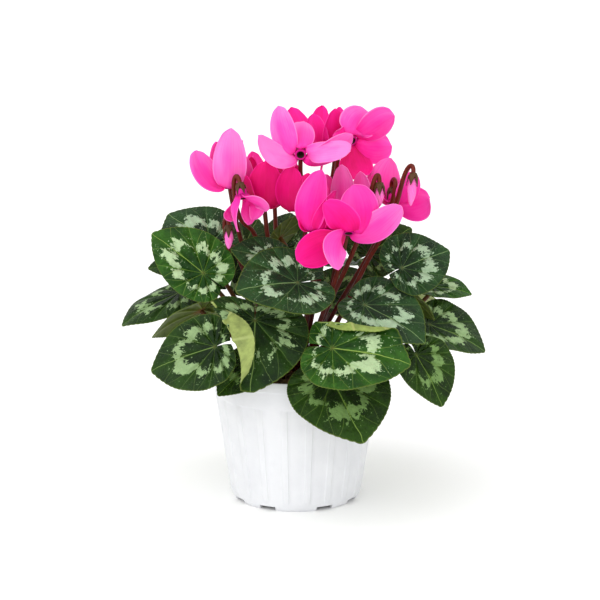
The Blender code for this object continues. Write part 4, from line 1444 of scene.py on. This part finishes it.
        # From the widest place over the lip and down into the hole: millimetres in from the mouth, and up.
        lip = ((-0.8, -3.0), (-0.7, -1.2), (-0.9, -0.8), (-1.6, -0.7), (-2.6, -1.2), (-3.0, -2.4))
        lip = [(self.mouth_radius + inward * MM, height * MM) for inward, height in lip]
        piece = lathe(self.name + "_tube", (*out, *lip, (0.5 * MM, -depth)), self.tube_sides)
        points = points_of(piece)
        middle = np.hypot(points[:, 0], points[:, 1]) < self.mouth_radius - self.throat_lip
        inside = middle & (points[:, 2] > -depth - 0.2 * MM)
        write_uv(piece, "petal", np.full((len(points), 2), 0.5))
        write_value(piece, "tone", np.where(inside, self.hole_shade_tone, self.tube_tone))
        piece.matrix_world = Matrix.Translation(mouth) @ turn.to_4x4()
        return settle(piece, 50)

    def build(self, stand: Stand, skins: FlowerSkins) -> None:
        """Builds the corolla and the stalk with its calyx, as two pieces.

        Args:
            stand: where its stalk stands in the crown.
            skins: the materials.
        """
        throat = paint(self.throat(), skins.throat)
        petals = [paint(self.petal(i, root), skins.flesh) for i, root in enumerate(self.roots())]
        corolla = joined(self.name + "_corolla", [*petals, throat])
        hand_over(settle(corolla, self.smooth), "petal_pink", self.name)

        mouth, turn = self.frame()
        calyx_end = mouth - turn.col[2] * (self.tube_length + self.calyx_length)
        whole = joined(self.name + "_hooked_stalk", self.holder(stand, calyx_end, turn, skins))
        hand_over(settle(whole), "stalk_maroon", self.name + "_stalk")


@dataclass
class Bud(Hanging):
    """One closed bud that hangs from its hooked stalk. hang is the top of the calyx in millimetres."""

    hang: Place = (0, 0, 0)
    length: float = 14  # millimetres, as the radius
    radius: float = 3.0
    furls: int = 5
    furl_twist: float = math.radians(130)
    tone: float = 0.95
    outline: Profile = ((0, 0.6), (0.2, 0.9), (0.5, 1.0), (0.8, 0.66), (0.95, 0.3), (1, 0.08))
    lap: Range = (0.86, 0.2)  # the radius where a petal's edge goes under, and how much the next stands out
    sunk: float = 0.6  # where the petals start, as a share of the calyx
    rows: int = 22
    sides: int = 40

    def furled(self) -> Piece:
        """The petals, wound round each other into a spindle.

        Returns:
            The spindle, with its root at the origin.
        """
        radius, length = self.radius * MM, self.length * MM
        shares = [i / self.rows for i in range(self.rows + 1)]
        widths = np.maximum(smooth_curve(np.array(shares), self.outline), 0.05) * radius
        spindle = lathe(self.name + "_furled", [(w, s * length) for w, s in zip(widths, shares)], self.sides)
        points = points_of(spindle)
        share = points[:, 2] / length
        wound = (np.arctan2(points[:, 1], points[:, 0]) + self.furl_twist * share) * self.furls / WHOLE_TURN
        lap = wound - np.floor(wound)
        points[:, :2] *= (self.lap[0] + self.lap[1] * lap**1.6)[:, None]
        place_points(spindle, points)
        write_uv(spindle, "petal", np.column_stack((0.1 + 0.8 * lap, 0.3 + 0.7 * share)))
        write_value(spindle, "tone", self.tone)
        return spindle

    def build(self, stand: Stand, skins: FlowerSkins) -> None:
        """Builds the stalk, the calyx and the furled petals as one piece.

        Args:
            stand: where its stalk stands in the crown.
            skins: the materials.
        """
        hang, turn = Vector(self.hang) * MM, facing(self.faces)
        petals = self.furled()
        start = hang + turn.col[2] * self.calyx_length * self.sunk
        petals.matrix_world = Matrix.Translation(start) @ turn.to_4x4()
        paint(settle(petals), skins.flesh)
        whole = joined(self.name + "_whole", [*self.holder(stand, hang, turn, skins), petals])
        hand_over(settle(whole), "stalk_maroon", self.name)


# The tones of each flower's petals are partly painted light and shade: paler for lit petals, deeper for
# shaded ones.
BLOOMS = (
    Bloom("flower_left", mouth=(-46, -26, 225), tones_with_painted_light=(0.88, 0.7, 0.6, 0.6, 0.65),
          tips=((-44, -34, 268, 5, 23), (-69, -25, 252, 70, 20), (-55, -13, 257, 0, 16),
                (-37, -15, 258, 20, 16), (-39, -27, 250))),
    Bloom("flower_left_inner", mouth=(-22, -24, 211), tones_with_painted_light=(0.1, 0.0, 0.05, 0.0, 0.0),
          tips=((-20, -36, 246, 5, 25), (-33, -38, 236), (-13, -23, 242), (-31, -9, 246, 0),
                (-13, -9, 242)), width=17, reach=6),
    Bloom("flower_top", mouth=(3, -48, 251), faces=(0, -20), tones_with_painted_light=(0.78, 0.72, 0.7, 0.95, 0.98),
          tips=((-12, -32, 283, 0, 19), (5, -14, 271, 0, 18), (38, -38, 264, -10), (36, -62, 256, 75),
                (-25, -56, 265, -50, 16)), via=(21, -34, 221)),
    Bloom("flower_top_back", mouth=(21, 12, 249), faces=(0, -85), tones_with_painted_light=(0.35, 0.3, 0.3, 0.35, 0.3),
          tips=((12, 2, 275, 0), (19, 30, 279, 40), (27, -1, 279, 0), (31, 30, 278, 20), (-3, 28, 278, 60)),
          width=18, hook=0),
    Bloom("flower_top_right", mouth=(39, -12, 257), faces=(20, -25), tones_with_painted_light=(0.7, 0.62, 0.22, 0.5, 0.6),
          tips=((51, 2, 276, 20, 26), (68, -8, 275, 0, 25), (46, -20, 233, 0, 24), (26, -14, 262, 0),
                (67, 2, 253, 40, 24)), hook=225),
    Bloom("flower_centre", mouth=(1, -31, 210), tones_with_painted_light=(0.15, 0.1, 0.2, 0.1, 0.15),
          tips=((-2, -44, 243, 5, 22), (8, -46, 239), (19, -17, 246, 20, 12), (1, -14, 241),
                (-4, -31, 240, 20, 12)), width=15, hook=14, reach=7),
    Bloom("flower_centre_right", mouth=(14, -56, 200), tones_with_painted_light=(0.5, 0.35, 0.3, 0.35, 0.3),
          tips=((17, -64, 243, 0, 21), (27, -54, 228), (21, -49, 230), (32, -56, 219), (6, -51, 222)),
          width=15, via=(14, -30, 176)),
    Bloom("flower_front", mouth=(35, -66, 200), faces=(0, -60), tones_with_painted_light=(0.75, 0.52, 0.35, 0.25, 0.72),
          tips=((70, -64, 219, 60, 20), (38, -64, 233, 0, 32), (18, -74, 222, 10, 26),
                (1, -76, 184, -60, 24), (28, -82, 179, -80, 20)), hook=262),
    Bloom("flower_behind_front", mouth=(33, -20, 205), tones_with_painted_light=(0.75, 0.6, 0.7, 0.3, 0.3),
          tips=((31, -31, 243, 0, 17), (21, -28, 236, -70, 17), (44, -28, 238, 70, 17), (45, -12, 227),
                (21, -12, 231)), width=16),
    Bloom("flower_right", mouth=(67, -20, 214), faces=(10, -70), tones_with_painted_light=(0.7, 0.6, 0.5, 0.4, 0.45),
          tips=((66, -6, 245, 0, 25), (92, -25, 219, 80, 24), (78, -31, 238), (57, -8, 234, 20, 14),
                (80, -4, 238)), width=17, hook=96, reach=11.5),
    Bloom("flower_half_open", mouth=(-36, -48, 221), faces=(30, -70), tones_with_painted_light=(0.7, 0.65, 0.6, 0.6, 0.6),
          tips=((-20, -54, 214, 40, 15), (-39, -52, 200), (-33, -40, 203), (-43, -42, 206),
                (-30, -44, 207)), width=11, via=(-27, -18, 188)),
    Bloom("flower_back", mouth=(-16, 46, 214), faces=(180, -80), tones_with_painted_light=(0.6, 0.5, 0.5, 0.45, 0.5),
          tips=((-14, 60, 248), (-32, 52, 244), (0, 50, 246), (-2, 37, 244), (-31, 38, 242)), width=19),
)

BUDS = (
    Bud("bud_right", hang=(56, -50, 233), hook=190),
    Bud("bud_far_right", hang=(79, -46, 239), faces=(-20, -75), length=20, hook=200, reach=10,
        via=(46, -17, 166)),
    Bud("bud_low_left", hang=(-46, -35, 202), hook=250, via=(-42, -17, 180)),
)

# ---------------------------------------------------------------- the pot and the compost


@dataclass
class Pot:
    """The nursery pot: a thin moulded wall with shallow ribs, a deep band, a lip and a raised floor."""

    height: float = 96 * MM
    lip_radius: float = 60 * MM
    lip_height: float = 7 * MM
    band_radius: float = 58.9 * MM
    band_foot: float = 77 * MM
    wall_top_radius: float = 57.7 * MM
    wall_foot_radius: float = 47.2 * MM
    rib_foot: float = 7 * MM
    foot_radius: float = 45 * MM
    foot_chamfer: float = 3.5 * MM
    outside_top: float = 57 * MM  # what is farther out than this at the top belongs to the outside
    wall: float = 1.4 * MM
    floor_top: float = 7.6 * MM
    floor_under: float = 6.2 * MM
    foot_inner_radius: float = 42.6 * MM
    panels: int = 20
    # Where a panel's twelve corners lie, in degrees from its rib's start, and how far each is raised.
    corners: tuple[float, ...] = (0, 0.25, 0.8, 2, 3, 4, 5.2, 5.75, 6, 9, 12, 15)
    raised: tuple[float, ...] = (0, 0.25, 1, 1, 1, 1, 1, 0.25, 0, 0, 0, 0)
    relief: float = 0.6 * MM
    first_rib: float = 6.4  # degrees
    notch_angles: tuple[float, ...] = (26.0, 60.5)
    notch_width: float = 12.2 * MM
    notch_depth: float = 12 * MM
    notch_height: float = 3.2 * MM
    drains: int = 4
    drain_radius: float = 4 * MM
    drain_depth: float = 10 * MM
    drain_circle: float = 26 * MM
    smooth: float = 38  # degrees between faces up to which an edge is smooth

    def profile(self) -> list[tuple[float, float]]:
        """The pot's turned outline.

        Returns:
            (radius, height) pairs from the recess under the floor, out, up, over the lip and down inside.
        """
        lip_foot = self.height - self.lip_height
        wall_rise = self.band_foot - 0.8 * MM - self.rib_foot
        flare = self.wall_top_radius - self.wall_foot_radius
        foot_flare = (self.wall_foot_radius - self.foot_radius) * 0.8
        # Each row is a radius and a height to start from, and millimetres to add to each.
        rows = (
            (self.foot_inner_radius, self.floor_under, ((-0.6, 0), (0, -0.6))),
            (self.foot_inner_radius, 0, ((0, 0.4), (0.4, 0))),
            (self.foot_radius, 0, ((-0.3, 0), (0.2, 0.25))),
            (self.foot_radius + foot_flare, self.foot_chamfer, ((0, 0),)),
            (self.wall_foot_radius, self.rib_foot, ((-0.2, -1.2), (0, 0))),
            *(
                (self.wall_foot_radius + flare * share, self.rib_foot + wall_rise * share, ((0, 0),))
                for share in (0.02, 0.25, 0.5, 0.75, 0.985, 1)
            ),
            (self.band_radius, self.band_foot, ((-0.55, -0.15), (-0.3, 0.3))),
            (self.band_radius, lip_foot, ((0, -0.9), (0.15, -0.5))),
            (self.lip_radius, lip_foot, ((-0.2, -0.1), (0, 0.3))),
            (self.lip_radius, self.height, ((0, -0.7), (-0.2, -0.2), (-0.6, 0))),
            (self.lip_radius - self.wall, self.height, ((0.4, -0.1), (0, -0.6))),
            (self.wall_top_radius - self.wall, self.band_foot, ((0, 0),)),
            (self.wall_foot_radius - self.wall, self.floor_top, ((0, 0.8), (-0.8, 0))),
        )
        return [(radius + out * MM, height + up * MM) for radius, height, steps in rows for out, up in steps]

    def raise_ribs(self, piece: Piece) -> None:
        """Gathers the turned wall's corners into narrow ribs between wide flat panels, and lifts the ribs.

        Args:
            piece: the turned pot.
        """
        points = points_of(piece)
        count = len(self.corners)
        turn = 360 / self.panels
        step = np.rint(np.degrees(np.arctan2(points[:, 1], points[:, 0])) * count / turn).astype(int)
        panel, corner = np.divmod(step, count)
        radius = np.hypot(points[:, 0], points[:, 1])
        height = points[:, 2]
        limits = (self.foot_radius - 0.5 * MM, self.outside_top)
        outside = radius > np.interp(height, (0, self.band_foot), limits)
        on_wall = outside & (height > self.rib_foot - MM) & (height < self.band_foot - 0.5 * MM)
        end = np.where((height < self.rib_foot - 0.5 * MM) | (height > self.band_foot - 1.0 * MM), 0.5, 1.0)
        radius = radius + np.array(self.raised)[corner] * self.relief * on_wall * end
        angle = np.radians(panel * turn + np.array(self.corners)[corner] + self.first_rib)
        place_points(piece, np.column_stack((radius * np.cos(angle), radius * np.sin(angle), height)))

    def cut(self, piece: Piece, cutter: Piece) -> None:
        """Takes a closed shape out of a piece and removes that shape.

        Args:
            piece: what is cut.
            cutter: the shape.
        """
        boolean = piece.modifiers.new("cut", "BOOLEAN")
        boolean.operation, boolean.object = "DIFFERENCE", cutter
        apply_modifiers(piece)
        bpy.data.objects.remove(cutter)

    def build(self, plastic: Material) -> None:
        """Builds the pot, with its notches and drain holes, for the solid pot.

        Args:
            plastic: its material.
        """
        piece = lathe("pot_moulding", self.profile(), self.panels * len(self.corners))
        self.raise_ribs(piece)
        cutters = []
        for angle in [s * a + b for a in self.notch_angles for s in (1, -1) for b in (0, 180)]:
            place = compass(angle, 0) * self.foot_radius
            bpy.ops.mesh.primitive_cube_add(size=1, location=place, rotation=(0, 0, math.radians(angle)))
            cutter = bpy.context.object
            cutter.scale = (self.notch_width, self.notch_depth, 2 * self.notch_height)
            cutters.append(settle(cutter))
        for i in range(self.drains):
            place = compass((i + 0.5) * 360 / self.drains, 0) * self.drain_circle + UP * self.floor_top
            bpy.ops.mesh.primitive_cylinder_add(
                vertices=32, radius=self.drain_radius, depth=self.drain_depth, location=place
            )
            cutters.append(settle(bpy.context.object))
        self.cut(piece, joined("cutters", cutters))
        hand_over(settle(paint(piece, plastic), self.smooth), "white_plastic", "pot")


@dataclass
class Compost:
    """The compost's crumbly top, with bark and a little perlite on it."""

    edge: float = 84 * MM
    crown: float = 86 * MM
    edge_radius: float = 56.2 * MM
    middle_radius: float = 0.6 * MM
    floor: float = 7.9 * MM
    floor_radius: float = 45.0 * MM
    shoulder: float = 77 * MM
    shoulder_radius: float = 55.6 * MM
    rings: int = 34
    roughness: float = 3.2 * MM
    chips: int = 260
    chip: float = 2.4 * MM  # the largest one's radius
    chip_seed: int = 5
    grains: int = 50
    grain: float = 1.3 * MM
    grain_seed: int = 8
    lumpiness: Range = (0.7, 1.25)  # the least and the greatest radius of a lump's points, as shares
    strewn: Range = (0.17, 0.93)  # squares of the least and the greatest share of the way to the edge
    lift: Range = (-0.8, 0.9)  # millimetres above the crown
    shrink: Range = (0.35, 1.0)  # the smallest and the largest lump
    steps: int = 120
    smooth: float = 40  # degrees between faces up to which an edge is smooth

    def bed(self) -> Piece:
        """The body of compost, whose top is turned in many rings and then roughened.

        Returns:
            The body.
        """
        shares = [i / self.rings for i in range(self.rings + 1)]
        radii = [self.edge_radius * (1 - share) + self.middle_radius * share for share in shares]
        heights = [self.edge + (self.crown - self.edge) * min(1.0, 2.2 * share) for share in shares]
        body = ((self.floor_radius, self.floor), (self.shoulder_radius, self.shoulder))
        piece = lathe("compost_bed", [*body, *zip(radii, heights)], self.steps)
        points = points_of(piece)
        radius = np.hypot(points[:, 0], points[:, 1])
        open_top = (points[:, 2] > self.edge - 0.1 * MM) & (radius < self.edge_radius - 0.5 * MM)
        piece.vertex_groups.new(name="top").add([int(i) for i in np.flatnonzero(open_top)], 1.0, "REPLACE")
        return roughen(piece, self.roughness, self.roughness, 0.5, "top")

    def scatter(self, name: str, count: int, size: float, seed: int, skin: Material) -> list[Piece]:
        """Copies of one lump, strewn over the bed.

        Args:
            name: the copies' name.
            count: how many there are.
            size: the largest one's radius in metres.
            seed: which strewing this is.
            skin: their material.

        Returns:
            The copies.
        """
        bpy.ops.mesh.primitive_ico_sphere_add(subdivisions=1, radius=1, location=(0, 0, 0))
        lump = paint(bpy.context.object, skin)
        lump.name = name
        chance = np.random.default_rng(seed)
        place_points(lump, points_of(lump) * chance.uniform(*self.lumpiness, (len(lump.data.vertices), 1)))
        found = []
        for _ in range(count):
            copy = lump.copy()
            copy.data = lump.data.copy()
            bpy.context.collection.objects.link(copy)
            away = math.sqrt(chance.uniform(*self.strewn)) * self.edge_radius
            angle = chance.uniform(0, WHOLE_TURN)
            height = self.crown + chance.uniform(*self.lift) * MM
            copy.location = (away * math.cos(angle), away * math.sin(angle), height)
            copy.rotation_euler = tuple(chance.uniform(0, 6, 3))
            copy.scale = tuple(chance.uniform(*self.shrink, 3) * size)
            found.append(copy)
        bpy.data.objects.remove(lump)
        return found

    def build(self, crumb: Material, bark: Material, perlite: Material) -> None:
        """Builds the compost with what lies on it, for the solid soil.

        Args:
            crumb: the bed's material.
            bark: the chips'.
            perlite: the grains'.
        """
        bed = paint(self.bed(), crumb)
        loose = self.scatter("bark_chip", self.chips, self.chip, self.chip_seed, bark)
        loose += self.scatter("perlite_grain", self.grains, self.grain, self.grain_seed, perlite)
        hand_over(settle(joined("compost_top", [bed, *loose]), self.smooth), "compost", "soil")


# ---------------------------------------------------------------- studio


@dataclass
class Studio:
    """A white sweep of floor, one large soft light from the upper left, and the camera, in metres."""

    distance: float = 1.100
    eye: float = 0.3556
    pitch: float = 10.94  # degrees below the horizon
    lens: float = 94.2  # millimetres, as the sensor
    sensor: float = 36
    shift: float = 0.0066
    floor_size: float = 2000
    sun: float = 1.2
    sun_turn: tuple[float, float, float] = (38, -22, 0)  # degrees
    sun_angle: float = 75  # how wide the light is, in degrees
    sky: float = 1.0

    def build(self) -> None:
        """Builds the floor, the lights and the camera."""
        bpy.ops.mesh.primitive_plane_add(size=self.floor_size, location=(0, 0, 0))
        floor = bpy.context.object
        floor.name = "floor"
        paint(floor, PlainPaint("#FFFFFF").material("floor_paint"))

        bpy.ops.object.light_add(type="SUN", rotation=tuple(math.radians(a) for a in self.sun_turn))
        sun = bpy.context.object.data
        sun.energy, sun.angle = self.sun, math.radians(self.sun_angle)
        world = bpy.data.worlds.new("white_room")
        world.use_nodes = True
        background = world.node_tree.nodes["Background"]
        background.inputs["Color"].default_value = colour("#FFFFFF")
        background.inputs["Strength"].default_value = self.sky
        bpy.context.scene.world = world
        bpy.context.scene.view_settings.view_transform = "Standard"

        level = math.radians(90 - self.pitch)
        bpy.ops.object.camera_add(location=(0, -self.distance, self.eye), rotation=(level, 0, 0))
        camera = bpy.context.object
        camera.data.lens, camera.data.sensor_width = self.lens, self.sensor
        camera.data.shift_x, camera.data.clip_end = self.shift, self.floor_size
        bpy.context.scene.camera = camera
        LOG.info("studio: floor, sun, white room and camera")


# ---------------------------------------------------------------- the plant


@dataclass
class Cyclamen:
    """The plant: its leaves, flowers and buds, all from one crown."""

    leaves: tuple[Leaf, ...] = LEAVES
    blooms: tuple[Bloom, ...] = BLOOMS
    buds: tuple[Bud, ...] = BUDS
    tuber: Tuber = Tuber()

    def build(self) -> None:
        """Builds every leaf, flower and bud on its own stalk."""
        reaches = [Vector(leaf.at) * MM for leaf in self.leaves]
        reaches += [Vector(bloom.mouth) * MM for bloom in self.blooms]
        reaches += [Vector(bud.hang) * MM for bud in self.buds]
        stands = self.tuber.stands(reaches)

        skins = {}
        for tone in LeafTone:
            upper, under = tone.value
            name = tone.name.lower()
            skins[tone] = [upper.material(f"waxy_leaf_{name}"), under.material(f"leaf_underside_{name}")]
        petiole = StalkSkin("#481A12", "#5C421A", 95 * MM, 190 * MM).material("leaf_stalk_skin")
        for i, (leaf, stand) in enumerate(zip(self.leaves, stands)):
            leaf.build(i + 1, stand, skins, petiole)

        # The throat's ramp: its near-black brown and dark purple low end is painted shade inside the mouth's
        # hole; its pinks are the tube's own colour.
        throat = ((0.0, "#2A1610"), (0.3, "#4A1A20"), (0.5, "#B00A70"), (1.0, "#D81490"))
        flower_skins = FlowerSkins(
            flesh=PetalFlesh().material("petal_flesh"),
            throat=PetalFlesh("#B00A74", throat).material("throat_flesh"),
            stalk=StalkSkin("#46100A", "#641E0E", 110 * MM, 250 * MM).material("flower_stalk_skin"),
            sepal=StalkSkin("#3A2A14", "#5A3A20", 180 * MM, 270 * MM, 0.5).material("sepal_skin"),
        )
        for flower, stand in zip((*self.blooms, *self.buds), stands[len(self.leaves) :]):
            flower.build(stand, flower_skins)


def main() -> None:
    """Loads the part, builds its pieces one after another, and lights the studio."""
    logging.basicConfig(level=logging.INFO, format="%(message)s")
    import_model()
    select()
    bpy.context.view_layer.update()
    Pot().build(MouldedPolypropylene().material("polypropylene"))
    Compost().build(
        EarthyCrumb("#17100B", "#4A3526", 1.6).material("peat"),
        EarthyCrumb("#2A1B10", "#6B4C33", 2.4).material("pine_bark"),
        EarthyCrumb("#C9C5BA", "#EFEDE6", 1.0, 0.3).material("perlite"),
    )
    Tuber().build(EarthyCrumb("#2B1D14", "#7A5F46", 2.2).material("cork"))
    Cyclamen().build()
    Studio().build()
    select()
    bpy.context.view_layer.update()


if __name__ == "__main__":
    main()
